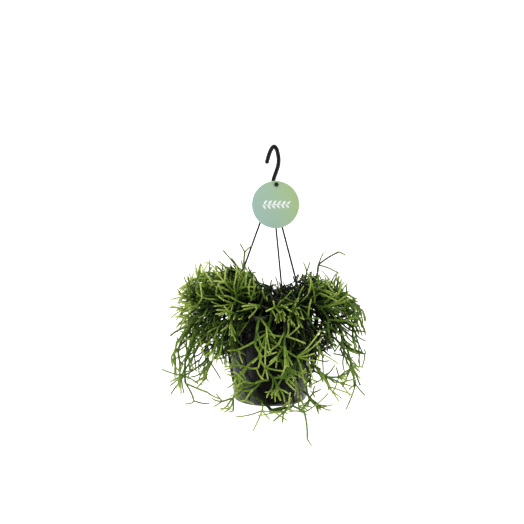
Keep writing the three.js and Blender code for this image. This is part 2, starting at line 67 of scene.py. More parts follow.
# ---- Sizes, as in the solids ----
SEAT = np.array([6.1, 0.0, 386.7])  # where the hook hangs
GAP = 0.35  # between pieces that don't touch
POT = Values(height=135, base=56.2, rim=66.2, corner=5, wall=1.6, lip=70, lip_height=2.6,
             foot=42, foot_height=1.2, floor=2.4)
DRAIN = Values(count=5, radius=3, ring=30)
SOIL = Values(top=121, crown=2.5, clearance=0.7, corner=(4.5, 6), root_depth=24)
HOOK_RADIUS = 3.3
HOOK_STEPS = 150
HOOK_LINE = [(2, 318), (3.9, 329), (6, 340.5), (9.8, 351.5), (12.6, 360.5), (13.4, 370),
             (12, 379.6), (9.7, 386.8), (6.1, 390), (2.5, 386.6), (-0.8, 379.4), (-3.4, 371),
             (-5.4, 363.2)]
HUB = Values(x=3.4, bottom=311.5, top=326, radius=8, neck=4.2, socket_ring=3.2, socket_depth=5)
ARM = Values(radius=1.45, azimuths=(72, 217, 309.2), hang=72.1, bend=(150, 3, 0.7),
             clip=(1.5, 1.1, 0.25, 4.1), corner=2.2, obstacle=1.9)
LABEL = Values(radius=35.9, thickness=0.8, edge=0.15, pin_x=9.2, pin_z=328, drop=30.4, aside=-1,
               back=-21.9, hole=2.3, pin=1.8, stub=2.8, knob=3.2, knob_length=1.5)
# How many sides each round shape has.
SIDES = Values(pot=144, drain=32, soil=160, hook=24, hub=48, pin=24, knob=40, arm=14, card=160,
               hole=40, stem=8)
# The twig on the card. split: half the way between the roots of a pair of leaves, along the twig
# and across it. leaf: its reach along the twig and away from it, and its width. taper: how much
# shorter each pair is than the one before. sunk and ink: how deep in and how high on the card.
SPRIG = Values(half=23, ends=(-1.0, 0.6), twig=1.5, pairs=6, first=4.2, step=7, split=(0.9, 0.2),
               leaf=(5.4, 7.6, 3.2), taper=0.06, sunk=0.1, ink=0.06)
LEAF = Values(steps=10, fullest=0.8)  # points along each side, and what moves the widest place

# ---- The plant, as in the solids ----
STEM_RADIUS = (1.15, 1.35, 1.6, 1.85, 2.05)  # by how many whorls grow on beyond the stem
ROOT_RADIUS = 2.15
ROOT_TOP = 127
ROOT_RANK = 4
GROWN_RANK = 3  # the highest of a stem that isn't placed one by one

# Long stems placed one by one: the root's x and y, then each stem's (row it grows from, x, y, z of
# its end), where row -1 is the root.
PLACED = {
    "front_centre": ((-24, -30), [
        (-1, -39, -46, 189), (0, -10, -64, 169), (1, -15, -76, 150), (2, -32, -84, 153),
        (2, -39, -90, 145), (2, -31, -92, 133), (2, 1, -84, 144), (6, 7, -92, 134),
        (6, -6, -90, 112), (8, -45, -82, 88), (8, -17, -90, 79), (8, 22, -96, 108),
        (8, 36, -86, 78), (8, -8, -100, 69), (8, 0, -104, 86), (9, -61, -86, 87),
        (9, -39, -90, 70), (10, 8, -98, 87), (10, -26, -96, 71), (10, -8, -88, 64),
        (19, -14, -88, 47), (19, -4, -92, 47), (19, 10, -92, 80), (19, 20, -90, 59),
        (11, 23, -104, 132), (11, 40, -102, 125), (11, 47, -100, 99), (12, 68, -96, 117),
        (12, 69, -104, 106), (12, 60, -102, 86), (12, 62, -92, 74), (12, 44, -90, 58),
        (12, 47, -82, 40),
    ]),
    "front_low": ((-42, -20), [
        (-1, -64, -40, 151), (0, -68, -50, 118), (1, -61, -54, 79), (2, -55, -54, 43),
        (3, -44, -60, 32), (4, -12, -68, 11), (5, -12, -72, 0), (6, -51, -78, -8),
        (6, -26, -82, -28), (6, 0, -84, -11), (5, 1, -70, 0), (10, 24, -80, -13), (10, 31, -72, 6),
        (12, 48, -68, -4), (13, 84, -60, 22), (13, 52, -72, -41), (15, 59, -76, -50),
        (13, 42, -66, 21),
    ]),
    "right_low": ((38, -28), [
        (-1, 54, -48, 153), (0, 59, -64, 112), (1, 61, -58, 66), (2, 79, -56, 45),
        (3, 93, -66, 65), (3, 99, -52, 43), (3, 84, -62, 25), (3, 51, -72, 34), (5, 96, -44, 57),
        (5, 115, -48, 43), (5, 118, -58, 55), (5, 104, -62, 39), (5, 89, -50, 17),
    ]),
    "far_right": ((47, -10), [
        (-1, 76, -12, 152), (0, 106, -13, 112), (1, 125, -14, 52), (2, 130, -16, 25),
        (3, 114, -20, -14), (3, 146, -12, 6),
    ]),
    "left_low": ((-47, 4), [
        (-1, -78, 2, 150), (0, -98, -4, 104), (1, -136, -8, 36), (2, -131, -14, 9),
        (1, -94, -14, 66), (4, -130, -22, 39), (5, -164, -26, 50), (5, -141, -30, 22),
    ]),
    "upper_left": ((-28, -8), [
        (-1, -40, -38, 190), (0, -38, -40, 225), (1, -46, -42, 239), (1, -28, -36, 235),
        (0, -58, -46, 218), (0, -71, -40, 229), (0, -20, -42, 196),
    ]),
    "upper_right": ((30, -4), [
        (-1, 51, -20, 176), (0, 55, -26, 196), (1, 60, -30, 212), (1, 50, -20, 211),
        (0, 69, -14, 183), (4, 73, -18, 206), (5, 103, -26, 226), (6, 114, -30, 220),
        (5, 105, -24, 193), (5, 82, -12, 226),
    ]),
    "left_light": ((-37, -30), [
        (-1, -32, -52, 166), (0, -45, -62, 162), (1, -65, -76, 182), (2, -80, -84, 200),
        (2, -81, -88, 184), (2, -63, -76, 202), (1, -53, -72, 152), (6, -74, -86, 163),
        (6, -80, -84, 149), (6, -73, -82, 135), (6, -58, -88, 131),
    ]),
    "right_star": ((20, -30), [
        (-1, 27, -48, 170), (0, 39, -68, 151), (1, 20, -80, 161), (1, 28, -84, 134),
        (1, 45, -86, 132), (1, 58, -80, 145), (1, 53, -76, 165),
    ]),
}

# Cuttings that grow by the rule: the root's distance from the axis and its azimuth, the first
# stem's azimuth, elevation and length, the leader's droop, and its stems if not the usual number.
CUTTINGS = {
    "left_top": (30, 176, 178, 56, 44, 0.4),
    "left_mid": (50, 166, 168, 46, 38, 0.42),
    "left_front": (52, 189, 206, 48, 38, 0.55),
    "left_back": (48, 142, 148, 50, 40, 0.5),
    "left_skirt": (40, 158, 184, 60, 42, 0.95),
    "right_top": (32, 12, 8, 54, 42, 0.4),
    "right_mid": (50, 1, 354, 46, 38, 0.42),
    "right_front": (50, 331, 334, 48, 38, 0.6),
    "right_back": (48, 34, 30, 50, 40, 0.5),
    "right_skirt": (50, 13, 14, 58, 40, 1.0),
    "back_mid": (46, 98, 98, 54, 36, 0.65),
    "back_left": (46, 120, 120, 54, 38, 0.6),
    "back_right": (46, 60, 58, 54, 38, 0.6),
    "front_left": (50, 244, 240, 60, 28, 0.8),
    "front_mid": (46, 272, 270, 62, 26, 0.8),
    "front_right": (50, 296, 298, 60, 28, 0.8),
    "inner": (14, 70, 100, 74, 34, 0.5),
    "inner_right": (34, 50, 46, 66, 42, 0.4),
    "inner_left": (34, 130, 134, 66, 42, 0.4),
    "middle_right": (24, 20, 30, 76, 32, 0.3),
    "middle_left": (22, 160, 150, 76, 32, 0.3),
    "middle_front": (22, 290, 280, 74, 28, 0.4),
    "middle_back": (18, 110, 120, 80, 30, 0.3),
    "front_hang_left": (50, 236, 234, 62, 30, 1.2, 6),
    "front_hang_mid": (48, 262, 262, 62, 30, 1.2, 6),
    "front_hang_right": (50, 286, 288, 62, 30, 1.2, 6),
    "left_hang": (50, 152, 156, 60, 30, 1.25, 5),
    "right_hang": (50, 24, 26, 60, 30, 1.25, 5),
    "right_hang_front": (53, 339, 338, 60, 30, 1.25, 5),
}
RULE = Values(
    seed=1236,
    leader_stems=4,  # stems in a row along a leader
    side_stems=2,  # and along a side shoot, at most
    leader_whorl=(2, 3),  # shoots at a leader's node, least and most
    side_whorl=(2, 2),  # and at a side shoot's
    shorten=0.86,  # each stem against the one that it grows from
    side_share=0.9,  # a side shoot against the stem that it grows from
    spread=(18, 46),  # degrees between a side shoot and that stem
    sag=0.22,  # how far a side shoot bends down over its length
    outward=0.1,  # pull of side shoots away from the pot's axis
    leader_outward=0.06,  # and of leaders
    stray=(0.1, 0.9),  # how far the first try strays, and how much more the last one may
    retreat=0.35,  # how much shorter the last try is
    lengths=(0.88, 0.24),  # least share of the length, and how much more chance adds
    apart=1.2,  # between stems of one plant
    swell=1.2,  # room that a new stem takes, against its radius
    tries=(7, 16),  # for a side shoot and a leader
    shortest=14,
    bend=0,  # most that a shoot bows sideways, against its length
    root_sag=0.9,  # most sag of a stem that leaves the soil
    ease=1,  # how much of its droop a leader keeps from stem to stem
    ragged=(0, 0, 0),  # how uneven the outline is, as FILL_RULE says
    crowded=False,  # whether stems that leave the soil may press against each other
)
# How far a stem placed one by one carries on as its parent points, and its straight pieces.
BY_HAND = Values(root_lead=0.45, lead=0.22, root_steps=3, steps=2)
# The room that the shoots fill. depth: how deep it is, how far out it starts to narrow, and by how
# much. dip and crown: the ceiling's height at the middle and beside it. middle: where that is, and
# over which distance the ceiling rises. fall: where the ceiling starts to fall to the sides, how
# fast, and how fast to the front and back. tilt: how fast it falls to the right. skirt: the lowest
# height. lip_room: how far down the pot's lip counts, and its room. under: the room outside the
# pot's base for a stem that passes it, and the depth from which the space below is free. oval: half
# the width and depth of the ground plan and its power.
REACH = Values(left=-150, right=142, depth=(118, 60, 0.25), dip=174, crown=200, middle=(8, 14, 58),
               fall=(88, 0.5, 0.12), tilt=0.22, skirt=14, pot_clearance=1.2, lip_room=(14, 3),
               under=(2, -90), front=118, oval=None)


def to_row(points):
    """Points in the pot's frame, in millimetres, as metres in the row frame."""
    return (np.asarray(points, float) - SEAT) * 0.001


def unit(v):
    size = math.sqrt(v @ v)
    return v / size if size else v


def aslant(along):
    """An axis that a unit vector isn't near to."""
    return np.array([1.0, 0, 0] if abs(along[2]) > 0.9 else [0, 0, 1.0])


def seeded(state):
    """The same even draws between 0 and 1 as the solids' rule takes."""
    while True:
        state = (state * 1664525 + 1013904223) % 2 ** 32
        yield state / 2 ** 32


def pick(draws, low, high):
    return low + (high - low) * next(draws)


def either_way(draws, count):
    """Draws between -0.5 and 0.5."""
    return [next(draws) - 0.5 for _ in range(count)]


# ---- Growth ----
class Stem:
    """One jointed stem: the curve that it follows, and what it grows from."""

    def __init__(self, plant, parent, curve, steps, rank, radius):
        self.plant, self.parent, self.curve = plant, parent, curve
        self.rank, self.radius = rank, radius
        self.path = bezier(curve, np.linspace(0, 1, steps + 1))
        self.number = None
        self.level = parent.level + 1 if parent else 0
        self.group = parent.group if parent else None

    def heading(self):
        return unit(self.path[-1] - self.path[-2])


def bezier(curve, t):
    """Points on the curve with these three control points, at the shares t."""
    a, b, c = curve
    t = np.asarray(t, float)[:, None]
    ab = a * (1 - t) + b * t
    bc = b * (1 - t) + c * t
    return ab * (1 - t) + bc * t


def between(a, b, c, d):
    """Shortest distances between the line piece a-b and the line pieces c-d."""
    u, v, w = b - a, d - c, a - c
    uu, uv, vv = u @ u, v @ u, (v * v).sum(1)
    uw, vw = w @ u, (v * w).sum(1)
    det = uu * vv - uv * uv
    s = np.where(det > 1e-9, (uv * vw - vv * uw) / np.where(det > 1e-9, det, 1), 0)
    s = np.clip(s, 0, 1)
    t = np.clip((uv * s + vw) / vv, 0, 1)
    s = np.clip((uv * t - uw) / uu, 0, 1)
    apart = w + u * s[:, None] - v * t[:, None]
    return np.sqrt((apart * apart).sum(1))


def arm_points(azimuth):
    """The centre line of one arm of the hanger, from its socket down to under the pot's lip."""
    turn = math.radians(azimuth)
    c, s = math.cos(turn), math.sin(turn)
    under = POT.height - POT.lip_height - GAP - ARM.radius
    height, half, lean = ARM.bend
    rise, turn_in, turn_up, tuck = ARM.clip
    line = [(ARM.hang - lean, height + half), (ARM.hang, height - half), (ARM.hang, under + rise),
            (ARM.hang - turn_in, under + turn_up), (ARM.hang - tuck, under)]
    top = (HUB.x + HUB.socket_ring * c, HUB.socket_ring * s, HUB.bottom + HUB.socket_depth)
    return np.array([top] + [(r * c, r * s, z) for r, z in line])


def wall_radius(z):
    return POT.base + (POT.rim - POT.base) * z / POT.height


def inner_radius(z):
    return wall_radius(z) - POT.wall


def smooth(low, high, v):
    t = min(1, max(0, (v - low) / (high - low)))
    return t * t * (3 - 2 * t)


def within_reach(point):
    """Whether a stem's end lies inside the crown's outline."""
    x, y, z = point
    centre, rise_from, rise_to = REACH.middle
    shoulder, fall, depth_fall = REACH.fall
    deep, narrow_from, narrow = REACH.depth
    edge = max(0, abs(x) - shoulder) * fall + abs(y) * depth_fall + max(0, x) * REACH.tilt
    rise = smooth(rise_from, rise_to, abs(x - centre))
    ceiling = REACH.dip + (REACH.crown - REACH.dip) * rise - edge
    in_depth = -REACH.front < y and abs(y) < deep - narrow * max(0, abs(x) - narrow_from)
    if REACH.oval:
        wide, deep, power = REACH.oval
        in_depth = in_depth and (abs(x) / wide) ** power + (abs(y) / deep) ** power < 1
    return REACH.left < x < REACH.right and in_depth and REACH.skirt < z < ceiling


def clear_of_pot(point, radius):
    """Whether a round at a point is clear of the pot, its lip, the soil and what is below."""
    x, y, z = point
    off = math.sqrt(x * x + y * y)
    room = radius + REACH.pot_clearance
    lip_zone, lip_room = REACH.lip_room
    under_room, under_end = REACH.under
    if z < -room:
        return off > POT.base + under_room or z < under_end
    if z > POT.height + room:
        return True
    outer = POT.lip + lip_room if z > POT.height - lip_zone else wall_radius(z)
    if off > outer + room:
        return True
    return z > SOIL.top + SOIL.crown + radius and off < inner_radius(z) - room


def path_clear_of_pot(path, radius):
    return all(clear_of_pot((a + b) / 2, radius) and clear_of_pot(b, radius)
               for a, b in zip(path, path[1:]))


class Thicket:
    """Every stem so far, with its straight pieces in arrays for the test of what is in the way."""

    ROOM = 60000  # line pieces

    def __init__(self):
        self.stems = []
        self.plants = {}
        self.count = 0
        self.a, self.b, self.mid = (np.zeros((self.ROOM, 3)) for _ in range(3))
        self.half, self.radius = np.zeros(self.ROOM), np.zeros(self.ROOM)
        self.plant, self.stem, self.parent = (np.full(self.ROOM, -9) for _ in range(3))

    def block(self, plant, path, radius, stem=-2, parent=-3):
        """Takes up the room of a tube along path."""
        for a, b in zip(path, path[1:]):
            i = self.count
            self.a[i], self.b[i], self.mid[i] = a, b, (a + b) / 2
            self.half[i] = math.dist(a, b) / 2
            self.radius[i] = radius
            self.plant[i] = self.plants.setdefault(plant, len(self.plants))
            self.stem[i], self.parent[i] = stem, parent
            self.count += 1

    def keep(self, stem):
        stem.number = len(self.stems)
        self.stems.append(stem)
        parent = stem.parent.number if stem.parent else -1
        self.block(stem.plant, stem.path, stem.radius, stem.number, parent)
        return stem

    def clear(self, path, radius, plant, parent, apart=GAP):
        """Whether a tube along path is clear of the pot and of all stems but its own parent and
        that parent's other shoots."""
        if not path_clear_of_pot(path, radius):
            return False
        n = self.count
        own = self.plant[:n] == self.plants.get(plant, -1)
        kin = own & ((self.parent[:n] == parent.number) | (self.stem[:n] == parent.number))
        room = radius + self.radius[:n] + np.where(own, RULE.apart, apart)
        for i, (a, b) in enumerate(zip(path, path[1:])):
            reach = math.dist(a, b) / 2 + self.half[:n] + room
            off = self.mid[:n] - (a + b) / 2
            near = ((off * off).sum(1) < reach * reach) & ~(kin if i else own)
            pick = np.flatnonzero(near)
            if pick.size and (between(a, b, self.a[pick], self.b[pick]) < room[pick]).any():
                return False
        return True


def root_at(thicket, plant, x, y):
    low, high = np.array([x, y, SOIL.top - SOIL.root_depth + GAP]), np.array([x, y, ROOT_TOP])
    return thicket.keep(Stem(plant, None, (low, (low + high) / 2, high), 1, ROOT_RANK, ROOT_RADIUS))


def on_circle(radius, degrees):
    turn = math.radians(degrees)
    return radius * math.cos(turn), radius * math.sin(turn)


def place_by_hand(thicket, plant, root, ends):
    """The stems of one plant from their ends. A stem's rank is the number of whorls beyond it."""
    rank = [0] * len(ends)
    for i in reversed(range(len(ends))):
        parent = ends[i][0]
        if parent >= 0:
            rank[parent] = max(rank[parent], rank[i] + 1)
    made = []
    for i, (parent, *end) in enumerate(ends):
        source, end = (root if parent < 0 else made[parent]), np.array(end, float)
        start = source.path[-1]
        lead = BY_HAND.root_lead if parent < 0 else BY_HAND.lead
        ahead = start + source.heading() * (math.dist(start, end) * 0.5)
        middle = (start + end) * 0.5 * (1 - lead) + ahead * lead
        age = min(rank[i], ROOT_RANK)
        steps = BY_HAND.root_steps if parent < 0 else BY_HAND.steps
        made.append(thicket.keep(Stem(plant, source, (start, middle, end), steps, age,
                                      STEM_RADIUS[age])))


def bud(plant, parent, heading, size, droop, left, leader, whorls=None, group=None):
    return Values(plant=plant, parent=parent, heading=heading, size=size, droop=droop, left=left,
                  leader=leader, whorls=whorls or (RULE.leader_whorl, RULE.side_whorl), group=group)


def leader_bud(plant, root, azimuth, elevation, size, droop, whorls=None, left=None):
    a, e = math.radians(azimuth), math.radians(elevation)
    heading = np.array([math.cos(e) * math.cos(a), math.cos(e) * math.sin(a), math.sin(e)])
    return bud(plant, root, heading, size, droop, left or RULE.leader_stems, True, whorls)


def grow_on(thicket, buds, draws, apart=GAP):
    """Grows all buds in rounds. Each tries a few headings, and is dropped if none is free."""
    while buds:
        one = buds.pop(0)
        rank = min(one.left - 1, GROWN_RANK)
        radius = STEM_RADIUS[rank]
        start = one.parent.path[-1]
        tries = RULE.tries[1 if one.leader else 0]
        short, low, beyond = RULE.ragged
        inset = np.array([1 + short * next(draws)] * 2 + [1]) if short else 1
        drop = np.array([0, 0, low * (next(draws) - beyond)]) if low else 0
        for attempt in range(tries):
            stray = RULE.stray[0] + (RULE.stray[1] * attempt) / tries
            wander = np.array(either_way(draws, 3))
            heading = unit(one.heading + wander * (2 * stray))
            chance = RULE.lengths[0] + RULE.lengths[1] * next(draws)
            size = one.size * (1 - (RULE.retreat * attempt) / tries) * chance
            sag = one.droop if one.leader else RULE.sag
            if one.parent.parent is None:
                sag = min(sag, RULE.root_sag)
            middle = start + heading * (size / 2)
            end = middle + unit(heading + np.array([0, 0, -sag])) * (size / 2)
            if RULE.bend:
                middle = middle + np.array(either_way(draws, 3)) * (2 * RULE.bend * size)
            steps = 2 if one.leader or RULE.bend else 1
            tried = Stem(one.plant, one.parent, (start, middle, end), steps, rank, radius)
            if size <= RULE.shortest or not within_reach(end * inset + drop):
                continue
            if one.parent.parent is None and RULE.crowded:
                free = path_clear_of_pot(tried.path, radius * RULE.swell)
            else:
                free = thicket.clear(tried.path, radius * RULE.swell, one.plant, one.parent, apart)
            if free:
                stem = thicket.keep(tried)
                stem.group = one.group or stem.group
                if one.left > 1:
                    buds.extend(whorl(one, stem, draws))
                break


def whorl(one, stem, draws):
    """The buds at the end of a stem: its leader goes on, and side shoots stand round it."""
    end, along = stem.path[-1], stem.heading()
    flat = unit(np.cross(along, aslant(along)))
    upright = np.cross(along, flat)
    outward = unit(np.array([end[0], end[1], 0]))
    least, most = one.whorls[0 if one.leader else 1]
    count = math.floor(pick(draws, least, most + 1))
    turn = 2 * math.pi * next(draws)
    buds = []
    if one.leader:
        heading = unit(along + outward * RULE.leader_outward)
        buds.append(bud(one.plant, stem, heading, one.size * RULE.shorten, one.droop * RULE.ease,
                        one.left - 1, True, one.whorls))
    for i in range(len(buds), count):
        around = turn + (2 * math.pi * (i + 0.5 * next(draws))) / count
        off = math.radians(pick(draws, *RULE.spread))
        sideways = flat * math.cos(around) + upright * math.sin(around)
        heading = unit(along * math.cos(off) + sideways * math.sin(off) + outward * RULE.outward)
        buds.append(bud(one.plant, stem, heading, one.size * RULE.side_share, one.droop,
                        min(one.left - 1, RULE.side_stems), False, one.whorls))
    return buds


def grow_as_solids():
    """The stems of the packed solids, all over again."""
    draws = seeded(RULE.seed)
    thicket = Thicket()
    for azimuth in ARM.azimuths:
        thicket.block("hanger", arm_points(azimuth), ARM.obstacle)
    roots = {name: root_at(thicket, name, *root) for name, (root, _) in PLACED.items()}
    for name, (off, azimuth, *_) in CUTTINGS.items():
        roots[name] = root_at(thicket, name, *on_circle(off, azimuth))
    for name, (_, ends) in PLACED.items():
        place_by_hand(thicket, name, roots[name], ends)
    buds = [leader_bud(name, roots[name], azimuth, elevation, size, droop, None, *more)
            for name, (_, _, azimuth, elevation, size, droop, *more) in CUTTINGS.items()]
    grow_on(thicket, buds, draws)
    return thicket


# ---- More shoots than the solids can hold ----
# Cuttings by region: the seed of its random draws, how many, then the least and most of the root's
# distance from the axis, of its azimuth, of the first stem's elevation and length and of the droop,
# the stems along a leader, how much their green shifts, partly fresher green and partly painted
# light and shade (painted shade in the middle and over the rim, painted light on the outer fans),
# and whether their whorls are thin.
FILL = {
    "front_light": (4077, 26, (46, 57), (222, 318), (54, 72), (32, 40), (1.2, 2.2), 7, 0.06, True),
    "skirt_left": (5086, 24, (46, 57), (146, 236), (42, 64), (28, 36), (0.6, 1.6), 7, 0.0, True),
    "skirt_right": (6095, 12, (46, 57), (-54, 38), (44, 66), (28, 36), (0.6, 1.4), 6, 0.06, True),
    "fan_left": (7104, 12, (44, 57), (140, 226), (40, 62), (30, 38), (0.3, 0.9), 4, 0.3, False),
    "fan_right": (8113, 14, (44, 57), (-46, 42), (40, 62), (28, 36), (0.3, 1.0), 5, 0.34, False),
    "rim_left": (9122, 14, (44, 56), (196, 252), (50, 70), (26, 34), (1.5, 2.6), 4, -0.2, False),
    "rim_right": (10131, 18, (44, 56), (288, 344), (50, 70), (26, 34), (1.5, 2.6), 4, -0.3, False),
    "rim_front": (11140, 24, (34, 54), (232, 308), (50, 80), (24, 34), (1.2, 2.2), 3, -0.14, False),
    "crown_left": (12149, 12, (16, 54), (136, 230), (34, 74), (32, 42), (0.2, 0.6), 4, 0.34, False),
    "crown_right": (13158, 12, (16, 54), (-50, 44), (34, 74), (32, 42), (0.2, 0.6), 4, -0.1, False),
    "crown_back": (14167, 14, (26, 54), (48, 134), (34, 72), (32, 42), (0.3, 0.8), 4, -0.1, False),
    "middle": (15176, 18, (2, 46), (0, 360), (50, 88), (22, 36), (0.2, 0.6), 3, -0.2, False),
}
FILL_WHORLS = ((3, 5), (2, 4))
THIN_WHORLS = ((2, 3), (1, 3))
FILL_ASKEW = 14  # most degrees between a root's azimuth and its first stem's
# What differs from RULE and REACH for all added shoots but the twigs. ragged: most that a stem
# stops short of the outline, as a share of its distance and as a height, and how much of that
# height may be beyond the outline instead.
FILL_RULE = Values(spread=(24, 66), leader_outward=-0.1, bend=0.2, shorten=0.97,
                   side_share=0.94, sag=-0.1, stray=(0.26, 0.8), apart=0.8, tries=(10, 20),
                   shortest=12, crowded=True, ease=0.6, ragged=(0.12, 12, 0.4))
FILL_REACH = Values(tilt=0.16, fall=(108, 0.4, 0.12), skirt=6, front=88, oval=(164, 124, 3))
# Extra side shoots at a node of the solids' own stems: how many, and the stems in a row along one
# at a young and at an old node. The pot shows between some plants, and these get none.
TWIGS = Values(seed=77, whorl=(1, 3), young=1, old=2)
NO_TWIGS = ("front_centre", "front_low", "left_light", "right_star",
            "front_hang_left", "front_hang_mid", "front_hang_right")
# Thin upright shoots on top of the crown: the share of the nodes that carry one, the lowest such
# node and the furthest to the sides, the length, how upright they are, and how far they may stand
# above the crown's outline.
TUFTS = Values(seed=3077, share=0.26, lowest=150, within=118, size=(20, 40), upright=1.1, above=15)
# Shoots that hang from the nodes outside the rim: whether these nodes are of the stems placed one
# by one, the share of the nodes that carry one, how far from the axis, how high and how far to the
# front those nodes lie, the length, how strongly the shoots point outwards and stray, and how far
# they may reach to the front and how low.
FRINGE = {
    "fringe": Values(seed=2077, placed=False, share=0.05, off=(70, 125), high=(92, 165), front=200,
                     size=(20, 32), outward=(0.1, 1.3), stray=1.4, reach=88, lowest=6),
    "rim_fringe": Values(seed=2386, placed=False, share=0.75, off=(60, 96), high=(104, 176),
                         front=-24, size=(15, 24), outward=(0.0, 0.5), stray=1.8, reach=88,
                         lowest=6),
    "web": Values(seed=2695, placed=True, share=0.8, off=(56, 93), high=(-6, 84), front=-50,
                  size=(16, 25), outward=(-0.3, 0.1), stray=3.4, reach=108, lowest=-4),
}
FRINGE_DROOP = 0.25
FRINGE_STEMS = 3  # in a row


def add_twigs(thicket):
    """Extra side shoots round the nodes of the stems that are there already."""
    draws = seeded(TWIGS.seed)
    buds = []
    for stem in list(thicket.stems):
        if stem.parent is None or stem.rank == 0 or stem.plant in NO_TWIGS:
            continue
        size = math.dist(stem.path[0], stem.path[-1])
        left = 1 + (TWIGS.old if stem.rank > 1 else TWIGS.young)
        one = bud(stem.plant, stem, None, size, RULE.sag, left, False, (TWIGS.whorl, TWIGS.whorl))
        buds += whorl(one, stem, draws)
    grow_on(thicket, buds, draws)


def add_fill(thicket):
    """The further cuttings, which grow looser. Returns the region of each new plant."""
    vars(RULE).update(vars(FILL_RULE))
    vars(REACH).update(vars(FILL_REACH))
    regions = {}
    for region, (seed, count, off, azimuth, elevation, size, droop, left, _, thin) in FILL.items():
        draws = seeded(seed)
        buds = []
        for i in range(count):
            plant = f"{region}_{i}"
            regions[plant] = region
            turn = azimuth[0] + (azimuth[1] - azimuth[0]) * (i + next(draws)) / count
            root = root_at(thicket, plant, *on_circle(pick(draws, *off), turn))
            heading = turn + pick(draws, -FILL_ASKEW, FILL_ASKEW)
            buds.append(leader_bud(plant, root, heading, pick(draws, *elevation),
                                   pick(draws, *size), pick(draws, *droop),
                                   THIN_WHORLS if thin else FILL_WHORLS, left))
        grow_on(thicket, buds, draws, apart=0)
    return regions


def add_fringe(thicket):
    """Shoots that hang down round the rim, from nodes of the stems that reach over it."""
    for name, rule in FRINGE.items():
        REACH.front, REACH.skirt = rule.reach, rule.lowest
        draws = seeded(rule.seed)
        buds = []
        for stem in list(thicket.stems):
            end = stem.path[-1]
            off = math.hypot(end[0], end[1])
            if ((stem.plant in PLACED) != rule.placed or end[1] > rule.front
                    or not rule.off[0] < off < rule.off[1]
                    or not rule.high[0] < end[2] < rule.high[1] or next(draws) > rule.share):
                continue
            outward = np.array([end[0], end[1], 0]) / off * pick(draws, *rule.outward)
            stray = np.array([*either_way(draws, 2), 0]) * rule.stray
            heading = unit(outward + stray + np.array([0, 0, -1.0]))
            side = "left" if end[0] < 0 else "right"
            buds.append(bud(stem.plant, stem, heading, pick(draws, *rule.size), FRINGE_DROOP,
                            FRINGE_STEMS, True, FILL_WHORLS, f"{name}_{side}"))
        grow_on(thicket, buds, draws, apart=0)


def add_tufts(thicket):
    """Single shoots that stand up out of the crown."""
    draws = seeded(TUFTS.seed)
    buds = []
    for stem in list(thicket.stems):
        end = stem.path[-1]
        if end[2] > TUFTS.lowest and abs(end[0]) < TUFTS.within and next(draws) < TUFTS.share:
            heading = unit(np.array([*either_way(draws, 2), TUFTS.upright]))
            buds.append(bud(stem.plant, stem, heading, pick(draws, *TUFTS.size), 0, 1, False))
    REACH.dip += TUFTS.above
    REACH.crown += TUFTS.above
    grow_on(thicket, buds, draws, apart=0)


# ---- Meshes ----
def put(name, data):
    """A new object in the scene."""
    made = bpy.data.objects.new(name, data)
    bpy.context.scene.collection.objects.link(made)
    return made


class Shell:
    """Points, faces and values per point of a mesh while it is put together."""

    def __init__(self):
        self.points, self.loops, self.sizes, self.total = [], [], [], 0
        self.values = {}

    def add(self, points, loops, sizes, **values):
        self.points.append(points)
        self.loops.append(np.asarray(loops) + self.total)
        self.sizes.append(sizes)
        for name, value in values.items():
            shape = (len(points),) + np.shape(value)[1:]
            self.values.setdefault(name, []).append(np.broadcast_to(value, shape))
        self.total += len(points)

    def build(self, name, material):
        """The object, with its points moved to the row frame."""
        points = to_row(np.concatenate(self.points))
        loops, sizes = np.concatenate(self.loops), np.concatenate(self.sizes)
        mesh = bpy.data.meshes.new(name)
        mesh.vertices.add(len(points))
        mesh.vertices.foreach_set("co", points.astype(np.float32).ravel())
        mesh.loops.add(len(loops))
        mesh.loops.foreach_set("vertex_index", loops.astype(np.int32))
        mesh.polygons.add(len(sizes))
        starts = np.concatenate([[0], np.cumsum(sizes)[:-1]])
        mesh.polygons.foreach_set("loop_start", starts.astype(np.int32))
        for key, parts in self.values.items():
            value = np.concatenate(parts).astype(np.float32)
            kind, field = ("FLOAT_VECTOR", "vector") if value.ndim > 1 else ("FLOAT", "value")
            mesh.attributes.new(key, kind, "POINT").data.foreach_set(field, value.ravel())
        mesh.update(calc_edges=True)
        mesh.validate()
        mesh.shade_smooth()
        mesh.materials.append(material)
        return put(name, mesh)


@lru_cache(maxsize=None)
def tube_faces(rings, sides):
    """Faces of a closed tube whose points are a start pole, the rings and an end pole."""
    here = np.arange(sides)
    after = (here + 1) % sides
    last = (rings - 1) * sides + 1
    start = np.stack([0 * here, 1 + after, 1 + here], 1)
    end = np.stack([last + here, last + after, 0 * here + last + sides], 1)
    rows = np.arange(rings - 1)[:, None] * sides + 1
    walls = np.stack([rows + here, rows + after, rows + sides + after, rows + sides + here], -1)
    loops = np.concatenate([start.ravel(), walls.ravel(), end.ravel()])
    sizes = np.array([3] * sides + [4] * (sides * (rings - 1)) + [3] * sides)
    return loops, sizes


def frames_along(points):
    """Unit vectors along the line, across it and square to both at each point, without twist."""
    ahead = np.vstack([points[1:], points[-1:]]) - np.vstack([points[:1], points[:-1]])
    ahead /= np.linalg.norm(ahead, axis=1)[:, None]
    side = aslant(ahead[0])
    across = np.empty_like(points)
    for i, along in enumerate(ahead):
        side = unit(side - along * (side @ along))
        across[i] = side
    return ahead, across, np.cross(ahead, across)


